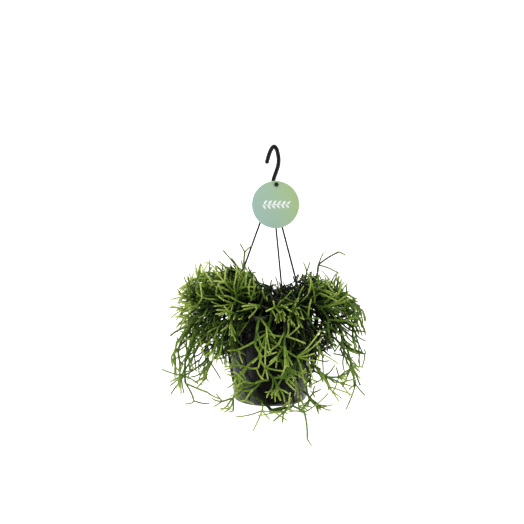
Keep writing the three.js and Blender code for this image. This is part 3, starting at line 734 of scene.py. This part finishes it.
def add_tube(shell, centres, radii, sides, poles, **values):
    """A closed tube of rings round centres. poles is how far its two end points stand out."""
    ahead, across, up = frames_along(centres)
    turn = np.arange(sides) * 2 * math.pi / sides
    cos, sin = np.cos(turn)[None, :, None], np.sin(turn)[None, :, None]
    out = across[:, None] * cos + up[:, None] * sin
    rings = centres[:, None] + out * np.asarray(radii)[:, None, None]
    first = centres[0] - ahead[0] * poles[0]
    last = centres[-1] + ahead[-1] * poles[1]
    points = np.vstack([first, rings.reshape(-1, 3), last])
    loops, sizes = tube_faces(len(centres), sides)
    per_point = {}
    for name, value in values.items():
        value = np.asarray(value, float)
        if value.ndim == 1:
            value = np.concatenate([value[:1], np.repeat(value, sides), value[-1:]])
        per_point[name] = value
    shell.add(points, loops, sizes, **per_point)


def lathe(shell, profile, segments, centre=(0, 0, 0), axis="Z"):
    """A solid of revolution from (radius, height) pairs that start and end on the axis."""
    profile = np.array(profile, float)
    turn = np.arange(segments) * 2 * math.pi / segments
    rings = profile[1:-1]
    r, h = rings[:, :1], rings[:, 1:]
    flat = [r * np.cos(turn), r * np.sin(turn), h + 0 * turn]
    ends = [[0, 0, profile[0][1]], [0, 0, profile[-1][1]]]
    points = np.vstack([ends[0], np.stack(flat, -1).reshape(-1, 3), ends[1]])
    if axis == "-Y":  # heights run towards the front
        points = np.stack([points[:, 0], -points[:, 2], points[:, 1]], 1)
    loops, sizes = tube_faces(len(rings), segments)
    shell.add(points + np.array(centre), loops, sizes)


def cut(body, *tools):
    """Takes the tools' shapes out of body, and removes the tools."""
    for tool in tools:
        change = body.modifiers.new("cut", "BOOLEAN")
        change.operation, change.solver, change.object = "DIFFERENCE", "EXACT", tool
    graph = bpy.context.evaluated_depsgraph_get()
    mesh = bpy.data.meshes.new_from_object(body.evaluated_get(graph))
    body.modifiers.clear()
    body.data = mesh
    for tool in tools:
        bpy.data.objects.remove(tool)


def sharp_edges(body, degrees=35):
    body.data.shade_smooth()
    body.data.set_sharp_from_angle(angle=math.radians(degrees))


def arc(centre, radius, start, end, steps):
    """(radius, height) points on an arc, in degrees from the outward direction."""
    angles = np.radians(np.linspace(start, end, steps + 1))
    return [(centre[0] + radius * math.cos(a), centre[1] + radius * math.sin(a)) for a in angles]


# ---- Materials ----
class Finish:
    """A procedural material, with short forms for the nodes that it uses."""

    def __init__(self, name, roughness, specular=0.5):
        self.material = bpy.data.materials.new(name)
        self.material.use_nodes = True
        self.tree = self.material.node_tree
        self.shader = self.tree.nodes["Principled BSDF"]
        self.shader.inputs["Roughness"].default_value = roughness
        self.shader.inputs["Specular IOR Level"].default_value = specular
        self.place = self.tree.nodes.new("ShaderNodeTexCoord").outputs["Object"]

    def node(self, kind, inputs, **settings):
        made = self.tree.nodes.new(kind)
        for key, value in settings.items():
            setattr(made, key, value)
        for key, value in inputs.items():
            self.feed(made.inputs[key], value)
        return made

    def feed(self, socket, value):
        if isinstance(value, bpy.types.NodeSocket):
            self.tree.links.new(value, socket)
        else:
            socket.default_value = value

    def value(self, attribute):
        return self.node("ShaderNodeAttribute", {}, attribute_name=attribute).outputs["Fac"]

    def vector(self, attribute):
        return self.node("ShaderNodeAttribute", {}, attribute_name=attribute).outputs["Vector"]

    def noise(self, scale, detail=2.0, at=None):
        inputs = {"Vector": at or self.place, "Scale": scale, "Detail": detail}
        return self.node("ShaderNodeTexNoise", inputs).outputs["Fac"]

    def maths(self, kind, a, b, clamp=False):
        made = self.node("ShaderNodeMath", {0: a, 1: b}, operation=kind, use_clamp=clamp)
        return made.outputs[0]

    def between(self, value, low, high, to_low=0.0, to_high=1.0):
        inputs = {"Value": value, "From Min": low, "From Max": high, "To Min": to_low,
                  "To Max": to_high}
        return self.node("ShaderNodeMapRange", inputs).outputs["Result"]

    def vary(self, cloud, low, high):
        """A noise as values from low to high. Most of it lies between 0.3 and 0.7."""
        return self.between(cloud, 0.3, 0.7, low, high)

    def ramp(self, value, *stops):
        """Colours as on a screen, each at its share of the way from 0 to 1."""
        made = self.node("ShaderNodeValToRGB", {"Fac": value})
        points = made.color_ramp.elements
        while len(points) < len(stops):
            points.new(1)
        for point, (place, colour) in zip(points, stops):
            point.position, point.color = place, linear(colour)
        return made.outputs["Color"]

    def blend(self, share, socket, colour):
        inputs = {0: share, 6: socket, 7: linear(colour)}
        return self.node("ShaderNodeMix", inputs, data_type="RGBA").outputs[2]

    def colour(self, socket):
        self.feed(self.shader.inputs["Base Color"], socket)

    def rough(self, socket):
        self.feed(self.shader.inputs["Roughness"], socket)

    def bump(self, height, metres, strength=1.0):
        inputs = {"Height": height, "Distance": metres, "Strength": strength}
        self.feed(self.shader.inputs["Normal"], self.node("ShaderNodeBump", inputs).outputs[0])


def linear(colour):
    """A colour given as 0 to 255 on a screen, as the linear light that materials take."""
    shares = [c / 255 for c in colour]
    return (*(c / 12.92 if c < 0.0404 else ((c + 0.055) / 1.055) ** 2.4 for c in shares), 1)


def stem_finish():
    """Waxy green skin: fresh and yellowish at the tips, darker on the older stems, with painted
    shade that makes the inner stems dark and dull and painted light on the outer ones.
    """
    skin = Finish("cactus_stem", 0.42, 0.14)
    local = skin.vector("skin")
    cloudy = skin.noise(0.35, 3.0, local)
    # age: the freshness value, with the painted light and shade of stem_pieces already in it, plus
    # a little noise.
    age = skin.maths("ADD", skin.value("fresh"), skin.vary(cloudy, -0.10, 0.10), True)
    green_light_shade = skin.ramp(age, (0.0, (7, 17, 0)), (0.25, (31, 54, 6)), (0.5, (80, 111, 28)),
                      (0.78, (138, 164, 64)), (1.0, (188, 205, 108)))
    green_light_shade = skin.blend(skin.value("joint"), green_light_shade, (96, 84, 40))
    pale = skin.maths("MULTIPLY", skin.value("tip"), skin.between(age, 0.1, 0.8, 0.15, 1.0))
    skin.colour(skin.blend(pale, green_light_shade, (206, 202, 128)))
    stripes = skin.node("ShaderNodeMapping", {"Vector": local, "Scale": (2.2, 2.2, 0.25)})
    fine = skin.noise(1.0, 3.0, stripes.outputs[0])
    skin.rough(skin.vary(fine, 0.36, 0.5))
    skin.bump(fine, 0.0001, 0.5)
    return skin.material


def pot_finish():
    """Thin charcoal plastic with a satin skin, a little chalky where it was handled."""
    wall = Finish("pot_plastic", 0.2, 0.5)
    cloud = wall.noise(28, 4.0)
    wall.colour(wall.ramp(cloud, (0.3, (5, 4, 6)), (0.7, (10, 9, 12))))
    wall.rough(wall.vary(cloud, 0.16, 0.24))
    wall.bump(wall.noise(1800), 0.00005, 0.5)
    return wall.material


def hanger_finish():
    """Black polypropylene, satin, with faint flow marks."""
    rod = Finish("hanger_plastic", 0.35, 0.28)
    flow = rod.noise(220, 3.0)
    rod.colour(rod.ramp(flow, (0.3, (6, 6, 6)), (0.75, (14, 13, 13))))
    rod.rough(rod.vary(flow, 0.3, 0.48))
    rod.bump(flow, 0.00008, 0.4)
    return rod.material


def peat_finish():
    """Dull crumbs in mixed browns."""
    crumb = Finish("peat", 0.95, 0.2)
    cloud, fine = crumb.noise(160, 4.0), crumb.noise(900, 5.0)
    both = crumb.maths("ADD", crumb.vary(cloud, 0.0, 0.5), crumb.vary(fine, 0.0, 0.5))
    crumb.colour(crumb.ramp(both, (0.1, (18, 12, 9)), (0.55, (48, 34, 24)), (0.95, (92, 70, 50))))
    crumb.bump(fine, 0.0008)
    return crumb.material


def label_finish():
    """Printed card: blue-green at the lower left runs to yellow-green on the right."""
    card = Finish("label_card", 0.45)
    middle = to_row((LABEL.pin_x + LABEL.aside, LABEL.back, LABEL.pin_z - LABEL.drop))
    split = card.node("ShaderNodeSeparateXYZ", {"Vector": card.place})
    span = LABEL.radius * 0.001
    x = card.between(split.outputs["X"], middle[0] - span, middle[0] + span, -0.5, 0.5)
    z = card.between(split.outputs["Z"], middle[2] - span, middle[2] + span, -0.2, 0.2)
    along = card.maths("ADD", x, z)
    along = card.maths("ADD", along, card.vary(card.noise(30), 0.46, 0.54))
    card.colour(card.ramp(along, (0.0, (158, 188, 177)), (0.4, (159, 187, 164)),
                          (0.75, (161, 188, 149)), (1.0, (163, 187, 132))))
    card.bump(card.noise(2500), 0.00003, 0.4)
    return card.material


def ink_finish():
    """White ink that covers a little unevenly."""
    ink = Finish("label_ink", 0.5)
    ink.colour(ink.ramp(ink.noise(700), (0.3, (226, 232, 226)), (0.7, (240, 244, 240))))
    return ink.material


# ---- Stems ----
RANK_FRESH = (0.68, 0.58, 0.46, 0.34, 0.24, 0.14)  # at the end of a stem of each rank
# The shade inside the crown, round the pot's rim: its centre, how far it reaches, how dark it is.
CORE = Values(centre=(10, 0, 134), size=(86, 86, 62), darker=0.36)
# Painted shade: stems are darker where few to many others stand within a radius.
CROWD_SHADE = Values(radius=26, few=12, many=80, darker=0.39)
PLANT_FRESH_LIGHT_SHADE = {  # how much their green shifts, if at all: partly fresher green, partly painted light on the front plants and painted shade on the inner and back ones; lighter on the left than on the right
    "front_centre": 0.24, "front_low": 0.12, "right_low": 0.16, "far_right": -0.1,
    "left_low": -0.05, "upper_left": -0.12, "upper_right": -0.05, "left_light": 0.3,
    "right_star": 0.22, "left_top": 0.26, "left_mid": 0.26, "left_front": 0.26, "left_back": 0.2,
    "left_skirt": -0.08, "right_top": -0.04, "right_mid": -0.02, "right_back": -0.1,
    "right_skirt": -0.12, "back_mid": -0.15, "back_left": -0.12, "back_right": -0.2,
    "front_left": 0.08, "front_mid": 0.12, "front_right": 0.02, "inner": -0.35,
    "front_hang_left": 0.06, "front_hang_mid": 0.08, "front_hang_right": 0.06,
    "left_hang": -0.12, "right_hang": -0.12, "right_hang_front": -0.06, "fringe_left": 0.06,
    "fringe_right": -0.02, "rim_fringe_left": -0.04, "rim_fringe_right": -0.2,
    "web_left": 0.14, "web_right": 0.14,
}
# How far the green of whole plants of the fill and of single stems differs.
TONES = Values(seed=5, plant=0.26, stem=0.2)
# Where a region of the fill is lighter, with fresher green and painted light, that comes in along
# each plant: from which stem in a row on, over how many, and its least share.
BRIGHTENS = (1.5, 2.5, -0.5)
# Rings of a stem, as how far they stand from its end and their radius, both against the stem's own:
# the waist at its joint, then the end of a tip, and of a stem that others grow from.
WAIST = ((-0.8, 0.45), (-0.1, 0.7), (1.0, 0.92), (2.4, 1.0))
TIP = ((-2.6, 0.9), (-1.2, 0.74), (-0.4, 0.5), (0.0, 0.26))
COLLAR = ((-1.6, 1.04), (-0.3, 1.02), (0.4, 0.72), (0.7, 0.4))
RING_STEP = 6
TIP_SLIM = 0.1  # how much a tip's stem thins out on the way
# The skin. ripple: how much the width varies, and how fast along the stem. pale: how far before the
# end of a tip its pale part starts, over which length, and how strong it is. brown: where the
# joint's brown is, how far it reaches, and how strong it is. jitter: how far apart the stems take
# their pattern from the noise. poles: how far the end points stand out, against the radius.
SKIN = Values(ripple=(0.035, 0.55), pale=(2.2, 2.0, 0.8), brown=(0.4, 1.3, 0.7), fresh_tip=0.1,
              jitter=100, poles=np.array([0.15, 0.12]))


def ring_places(span, radius, terminal):
    """How far along a stem its rings stand, and their radius as a share of the stem's."""
    start, stop = WAIST[-1][0] * radius, span + TIP[0][0] * radius
    count = max(1, round((stop - start) / RING_STEP))
    slim = TIP_SLIM if terminal else 0
    places = [(d * radius, share) for d, share in WAIST]
    places += [(d, 1 - slim * d / span) for d in np.linspace(start, stop, count + 2)[1:-1]]
    places += [(span + d * radius, share) for d, share in (TIP if terminal else COLLAR)]
    return np.array(places)


def add_stem(shell, stem, fresh, draws):
    """One stem as a closed tube with a waist at its joint and a round end."""
    fine = bezier(stem.curve, np.linspace(0, 1, 9))  # to measure its length
    span = float(np.linalg.norm(np.diff(fine, axis=0), axis=1).sum())
    terminal = stem.rank == 0
    far, width = ring_places(span, stem.radius, terminal).T
    ripple, pace = SKIN.ripple
    phase = 2 * math.pi * next(draws)
    radii = stem.radius * width * (1 + ripple * np.sin(far * pace + phase))
    before, over, pale = SKIN.pale
    tip = np.clip((far - span + before) / over, 0, 1) * (pale if terminal else 0)
    middle, reach, brown = SKIN.brown
    joint = np.clip(1 - np.abs(far - middle) / reach, 0, 1) * brown
    share = np.clip(far / span, 0, 1)
    # The green value at the stem's two ends carries painted light and shade as well as freshness.
    green_light_shade = fresh[0] + (fresh[1] - fresh[0] + (SKIN.fresh_tip if terminal else 0)) * share
    high = far + SKIN.jitter * next(draws)
    turn = np.arange(SIDES.stem) * 2 * math.pi / SIDES.stem
    local = np.stack([np.outer(radii, np.cos(turn)), np.outer(radii, np.sin(turn)),
                      np.repeat(high[:, None], SIDES.stem, 1)], -1).reshape(-1, 3)
    local = np.vstack([[0, 0, high[0]], local, [0, 0, high[-1]]])
    add_tube(shell, bezier(stem.curve, far / span), radii, SIDES.stem, SKIN.poles * stem.radius,
             fresh=green_light_shade, tip=tip, joint=joint, skin=local)


def core_shade(point):
    """How much darker the green is at a point for the shade inside the crown."""
    off = (np.asarray(point) - CORE.centre) / CORE.size
    return CORE.darker * math.sqrt(max(0, 1 - off @ off))


def crowding(stems):
    """For each stem, from 0 in the open to 1 in the thick of the plant: the mask of the painted
    shade.
    """
    middle = np.array([stem.path[len(stem.path) // 2] for stem in stems], np.float32)
    near = np.empty(len(stems))
    for i, place in enumerate(middle):
        off = middle - place
        near[i] = ((off * off).sum(1) < CROWD_SHADE.radius ** 2).sum()
    return np.clip((near - CROWD_SHADE.few) / (CROWD_SHADE.many - CROWD_SHADE.few), 0, 1)


def stem_pieces(thicket, regions, material):
    """One piece for each plant of the solids, and one for each kind of added shoots."""
    draws = seeded(TONES.seed)
    start, over, least = BRIGHTENS
    groups, tone = {}, {}
    crowd_shade = crowding(thicket.stems)
    for stem in thicket.stems:
        group = stem.group or regions.get(stem.plant, stem.plant)
        groups.setdefault(group, []).append(stem)
    for group, stems in groups.items():
        shell = Shell()
        filled = group in FILL
        *_, bias_light_shade, _ = FILL[group] if filled else (PLANT_FRESH_LIGHT_SHADE.get(group, 0), None)
        for stem in stems:
            if filled and stem.plant not in tone:
                tone[stem.plant] = TONES.plant * (next(draws) - 0.5)
            grown = np.clip((stem.level - start) / over, least, 1) if filled and bias_light_shade > 0 else 1
            # Painted light and shade: the plant's shift lightens outer and front plants and darkens
            # inner and back ones; the crowd's and the core's darkening paint the shade inside the
            # crown.
            shift_light_shade = (bias_light_shade * grown + tone.get(stem.plant, 0) + TONES.stem * (next(draws) - 0.5)
                     - CROWD_SHADE.darker * crowd_shade[stem.number])
            fresh = (RANK_FRESH[stem.rank + 1] + shift_light_shade - core_shade(stem.path[0]),
                     RANK_FRESH[stem.rank] + shift_light_shade - core_shade(stem.path[-1]))
            add_stem(shell, stem, fresh, draws)
        piece = shell.build(f"shoots_{group}", material)
        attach(piece, PLANTER)
        if f"stems_{group}" in frame["nodes"]:
            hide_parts(f"stems_{group}")


# ---- Pot, soil, hanger, label ----
def drill(radius, low, high, sides, centre, material, axis="Z"):
    """A cylinder to cut a hole with."""
    shell = Shell()
    lathe(shell, [(0, low), (radius, low), (radius, high), (0, high)], sides, centre, axis)
    return shell.build("drill", material)


def make_pot(material):
    """The pot, turned in one piece, with its drain holes cut out."""
    shell = Shell()
    height, lip = POT.height, POT.height - POT.lip_height
    foot, rim, mouth = 0.6, 0.7, 0.6  # radii of the rounded edges
    profile = [(0, POT.foot_height), (POT.foot - foot, POT.foot_height)]
    profile += arc((POT.foot + 1 + foot, foot), foot, 225, 270, 3)
    profile += arc((wall_radius(0) - POT.corner, POT.corner), POT.corner, 270, 360, 10)
    profile += [(wall_radius(z), z) for z in np.linspace(POT.corner + 4, lip - 1, 12)]
    profile += [(wall_radius(lip) + 0.5, lip - 0.15)]
    profile += arc((POT.lip - rim, lip + rim), rim, 270, 360, 4)
    profile += arc((POT.lip - rim, height - rim), rim, 0, 90, 4)
    profile += arc((inner_radius(height) + mouth, height - mouth), mouth, 90, 180, 4)
    profile += [(inner_radius(z), z) for z in np.linspace(height - 6, POT.floor + 7, 10)]
    profile += [(inner_radius(POT.floor) - 4, POT.floor), (0, POT.floor)]
    lathe(shell, profile, SIDES.pot)
    body = shell.build("pot_body", material)
    places = (on_circle(DRAIN.ring, 360 * (i + 0.5) / DRAIN.count) for i in range(DRAIN.count))
    cut(body, *(drill(DRAIN.radius, -2, 6, SIDES.drain, (x, y, 0), material) for x, y in places))
    sharp_edges(body)
    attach(body, PLANTER)
    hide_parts("pot")


def make_hook(material):
    """The hook and its shank in one piece with the hub of the arms and the label's pin."""
    shell = Shell()
    line = smooth_line(np.array([(x, 0, z) for x, z in HOOK_LINE], float), HOOK_STEPS)
    radii = np.full(len(line), HOOK_RADIUS)
    radii[-4:] *= (0.97, 0.88, 0.7, 0.4)  # its round end
    add_tube(shell, line, radii, SIDES.hook, (0, 0.3))
    wide, low, high = HUB.radius, HUB.bottom, HUB.top
    lathe(shell, [(0, low), (wide - 1.4, low), (wide - 0.3, low + 0.4), (wide, low + 1.5),
                  (wide, low + 6.6), (wide - 0.3, low + 7.6), (HUB.neck + 0.4, high - 1),
                  (HUB.neck, high), (0, high)], SIDES.hub, (HUB.x, 0, 0))
    add_pin(shell)
    body = shell.build("hanger_hook_body", material)
    sharp_edges(body, 50)
    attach(body, PLANTER)
    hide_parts("hanger_hook")


# The knots that each of a curve's three layers of blends runs between.
LAYERS = (((0, 1), (1, 2), (2, 3)), ((0, 2), (1, 3)), ((1, 2),))


def smooth_line(points, count):
    """Centripetal Catmull-Rom curve through points, as count + 1 points."""
    padded = np.vstack([2 * points[0] - points[1], points, 2 * points[-1] - points[-2]])
    steps = np.sqrt(np.linalg.norm(np.diff(padded, axis=0), axis=1))
    knots = np.concatenate([[0], np.cumsum(steps)])
    line = []
    for share in np.linspace(0, 1, count + 1):
        at = share * (len(points) - 1)
        i = min(int(at), len(points) - 2)
        p, t = padded[i:i + 4], knots[i:i + 4]
        now = t[1] + (at - i) * (t[2] - t[1])
        for layer in LAYERS:
            p = [(a * (t[high] - now) + b * (now - t[low])) / (t[high] - t[low])
                 for a, b, (low, high) in zip(p, p[1:], layer)]
        line.append(p[0])
    return np.array(line)


def add_pin(shell):
    """The label's pin: a stub from the shank, through the label, to a snap knob with a dimple."""
    x, z, back = LABEL.pin_x, LABEL.pin_z, LABEL.back  # back of the card
    front = back - LABEL.thickness - GAP
    stub = np.array([(x - 5.4, 0, z - 1), (x - 2.4, -1.9, z - 0.3), (x - 0.6, -3.4, z), (x, -6, z),
                     (x, back + GAP + 0.3, z), (x, back + GAP, z)])
    width = np.array([0.86, 0.9, 0.93, 1, 1, 0.94])
    add_tube(shell, stub, LABEL.stub * width, SIDES.pin, (0, 0))
    pin = np.array([(x, back + 1, z), (x, front - 0.4, z)])
    add_tube(shell, pin, [LABEL.pin] * 2, SIDES.pin, (0, 0))
    knob, deep = LABEL.knob, LABEL.knob_length
    lathe(shell, [(0, 0), (knob - 0.2, 0), (knob, 0.2), (knob, 0.7), (knob - 0.35, 1.2),
                  (0.6 * knob, deep), (0.45 * knob, deep), (0.3 * knob, deep - 0.5),
                  (0, deep - 0.65)], SIDES.knob, (x, front, z), "-Y")


def make_arms(material):
    """The three slanting rods between the hub and the pot's lip."""
    for i, azimuth in enumerate(ARM.azimuths):
        shell = Shell()
        line = rounded(arm_points(azimuth), ARM.corner)
        add_tube(shell, line, np.full(len(line), ARM.radius), SIDES.arm, (0, 0.15))
        piece = shell.build(f"hanger_arm_rod_{i + 1}", material)
        sharp_edges(piece, 60)
        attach(piece, PLANTER)
        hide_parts(f"hanger_arm_{i + 1}")


def rounded(points, reach):
    """The line with each corner turned into a short curve that starts at most reach before it."""
    most = 0.48  # of a straight piece, so that two curves don't meet
    line = [points[0]]
    for before, corner, after in zip(points, points[1:], points[2:]):
        start = corner + unit(before - corner) * min(reach, math.dist(before, corner) * most)
        end = corner + unit(after - corner) * min(reach, math.dist(after, corner) * most)
        line.extend(bezier((start, corner, end), np.linspace(0, 1, 6)))
    return np.array(line + [points[-1]])


# Crumbs of the peat, in metres: how high they stand, how far the whole lies lower, and their noise.
CRUMBS = Values(high=0.0011, sunk=0.0004, scale=180, octaves=(0.8, 2.2, 5))


def make_soil(material):
    """The peat, with a domed top of crumbs."""
    shell = Shell()
    bottom, brim, top = POT.floor + GAP, SOIL.top - 2, SOIL.top + SOIL.crown
    clearance, (inset, rise) = SOIL.clearance, SOIL.corner
    edge = inner_radius(SOIL.top) - clearance
    profile = [(0, bottom), (inner_radius(bottom) - clearance - inset, bottom)]
    profile += [(inner_radius(z) - clearance, z) for z in (bottom + rise, 40, 80, brim)]
    profile += [(edge * math.cos(a) ** 0.5, brim + (top - brim) * math.sin(a))
                for a in np.radians(np.linspace(8, 88, 46))]
    profile += [(0, top)]
    lathe(shell, profile, SIDES.soil)
    piece = shell.build("soil_peat", material)
    high = to_row((0, 0, brim - 1))[2]
    for v in piece.data.vertices:
        if v.co.z > high:
            rough = noise.fractal(v.co * CRUMBS.scale, *CRUMBS.octaves)
            v.co.z += CRUMBS.high * rough - CRUMBS.sunk
    piece.data.update()
    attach(piece, PLANTER)
    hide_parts("soil")


def leaf(root, tip, width):
    """The outline of a flat leaf: points across the card and up it."""
    root, tip = np.array(root, float), np.array(tip, float)
    along = tip - root
    aside = np.array([-along[1], along[0]]) / math.dist(root, tip) * width / 2
    share = np.linspace(0, 1, LEAF.steps + 1)[:, None]
    swell = np.sin(math.pi * share ** LEAF.fullest)
    there = root + along * share + aside * swell
    back = root + along * share[::-1] - aside * swell[::-1]
    return np.vstack([there[:-1], back[:-1]])


def make_sprig(material):
    """A plain leafy twig printed on the card in thick white ink."""
    shell = Shell()
    x, z = LABEL.pin_x + LABEL.aside, LABEL.pin_z - LABEL.drop
    front = LABEL.back - LABEL.thickness
    low, high = SPRIG.ends
    twig = [leaf((-SPRIG.half, low), (SPRIG.half, high), SPRIG.twig)]
    (apart, off), (along, away, width) = SPRIG.split, SPRIG.leaf
    for i in range(SPRIG.pairs):
        for side in (-1, 1):
            root = (-SPRIG.half + SPRIG.first + SPRIG.step * i + side * apart, side * off)
            tip = (root[0] + along, side * away * (1 - SPRIG.taper * i))
            twig.append(leaf(root, tip, width))
    for outline in twig:
        count = len(outline)
        rows = [np.column_stack([outline[:, 0] + x, np.full(count, y), outline[:, 1] + z])
                for y in (front + SPRIG.sunk, front - SPRIG.ink)]
        here = np.arange(count)
        after = (here + 1) % count
        walls = np.stack([here, after, after + count, here + count], 1).ravel()
        loops = np.concatenate([here[::-1], walls, here + count])
        shell.add(np.vstack(rows), loops, np.array([count] + [4] * count + [count]))
    piece = shell.build("label_sprig", material)
    piece.data.shade_flat()
    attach(piece, TAG)


def make_label(material):
    """The round card, with the hole for its pin."""
    shell = Shell()
    r, t, edge = LABEL.radius, LABEL.thickness, LABEL.edge
    centre = (LABEL.pin_x + LABEL.aside, LABEL.back, LABEL.pin_z - LABEL.drop)
    lathe(shell, [(0, 0), (r - edge, 0), (r, edge), (r, t - edge), (r - edge, t), (0, t)],
          SIDES.card, centre, "-Y")
    piece = shell.build("label_card", material)
    pin = (LABEL.pin_x, LABEL.back, LABEL.pin_z)
    cut(piece, drill(LABEL.hole, -2, 3, SIDES.hole, pin, material, "-Y"))
    sharp_edges(piece, 40)
    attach(piece, TAG)
    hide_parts("label")


# ---- Stage, in metres in the row frame ----
WHITE = (1, 1, 1, 1)
AMBIENT = 0.08
BACKDROP_GLOW = 0.52
BACKDROP = Values(near=-0.75, wall=1.9, bend=0.8, floor=-0.85, top=2.6, half=3.2)
# Each softbox's place, width and height, and watts.
SOFTBOXES = {
    "front": ((-0.35, -0.9, 1.2), (1.0, 0.7), 20),
    "left": ((-1.3, -0.55, 0.0), (0.95, 1.3), 12),
    "right": ((1.26, -0.61, 0.0), (0.85, 1.3), 14),
}
AIM = (0, 0, -0.25)


def make_stage():
    """A white floor that curves up into a wall behind the plant."""
    wall, bend = BACKDROP.wall, BACKDROP.bend
    line = [(BACKDROP.near, BACKDROP.floor)]
    line += arc((wall - bend, BACKDROP.floor + bend), bend, -90, 0, 23)
    line += [(wall, BACKDROP.top)]
    verts = [(x, y, z) for y, z in line for x in (-BACKDROP.half, BACKDROP.half)]
    faces = [(2 * i, 2 * i + 1, 2 * i + 3, 2 * i + 2) for i in range(len(line) - 1)]
    mesh = bpy.data.meshes.new("backdrop")
    mesh.from_pydata(verts, [], faces)
    mesh.shade_smooth()
    sheet = put("backdrop", mesh)
    paper = Finish("backdrop", 0.9, 0.1)
    paper.colour(paper.ramp(paper.noise(3, 1.0), (0.0, (247, 247, 247)), (1.0, (252, 252, 252))))
    paper.feed(paper.shader.inputs["Emission Color"], WHITE)
    seen = paper.node("ShaderNodeLightPath", {}).outputs["Is Camera Ray"]  # white to its edges
    paper.feed(paper.shader.inputs["Emission Strength"],
               paper.between(seen, 0, 1, BACKDROP_GLOW, 1.0))
    mesh.materials.append(paper.material)


def softbox(name, place, size, watts):
    """A rectangular light that shines on the plant."""
    light = bpy.data.lights.new(name, "AREA")
    light.shape, light.energy = "RECTANGLE", watts
    light.size, light.size_y = size
    made = put(name, light)
    made.location = place
    made.rotation_euler = (Vector(AIM) - Vector(place)).to_track_quat("-Z", "Y").to_euler()


def make_lights():
    """Three softboxes in a dim studio, which is white to the camera."""
    world = bpy.data.worlds.new("studio")
    world.use_nodes = True
    nodes, links = world.node_tree.nodes, world.node_tree.links
    ambient = nodes["Background"]
    ambient.inputs["Color"].default_value = WHITE
    ambient.inputs["Strength"].default_value = AMBIENT
    beyond = nodes.new("ShaderNodeBackground")  # what shows past the floor's edges
    beyond.inputs["Color"].default_value = WHITE
    seen = nodes.new("ShaderNodeLightPath")
    either = nodes.new("ShaderNodeMixShader")
    links.new(seen.outputs["Is Camera Ray"], either.inputs[0])
    links.new(ambient.outputs[0], either.inputs[1])
    links.new(beyond.outputs[0], either.inputs[2])
    links.new(either.outputs[0], nodes["World Output"].inputs["Surface"])
    bpy.context.scene.world = world
    for name, box in SOFTBOXES.items():
        softbox(name, *box)
    bpy.context.scene.view_settings.view_transform = "Standard"


def make_camera():
    """At the height and distance that give the photograph's framing and perspective."""
    lens = bpy.data.cameras.new("camera")
    lens.lens, lens.sensor_width = 38.5, 36  # millimetres
    camera = bpy.context.scene.camera = put("camera", lens)
    camera.location = to_row((-12.4, -869, 210.8))
    camera.rotation_euler = (math.pi / 2, 0, 0)


make_camera()
make_stage()
make_lights()
hanger_plastic = hanger_finish()
make_pot(pot_finish())
make_soil(peat_finish())
make_hook(hanger_plastic)
make_arms(hanger_plastic)
make_label(label_finish())
make_sprig(ink_finish())
thicket = grow_as_solids()
add_twigs(thicket)
regions = add_fill(thicket)
add_fringe(thicket)
add_tufts(thicket)
stem_pieces(thicket, regions, stem_finish())
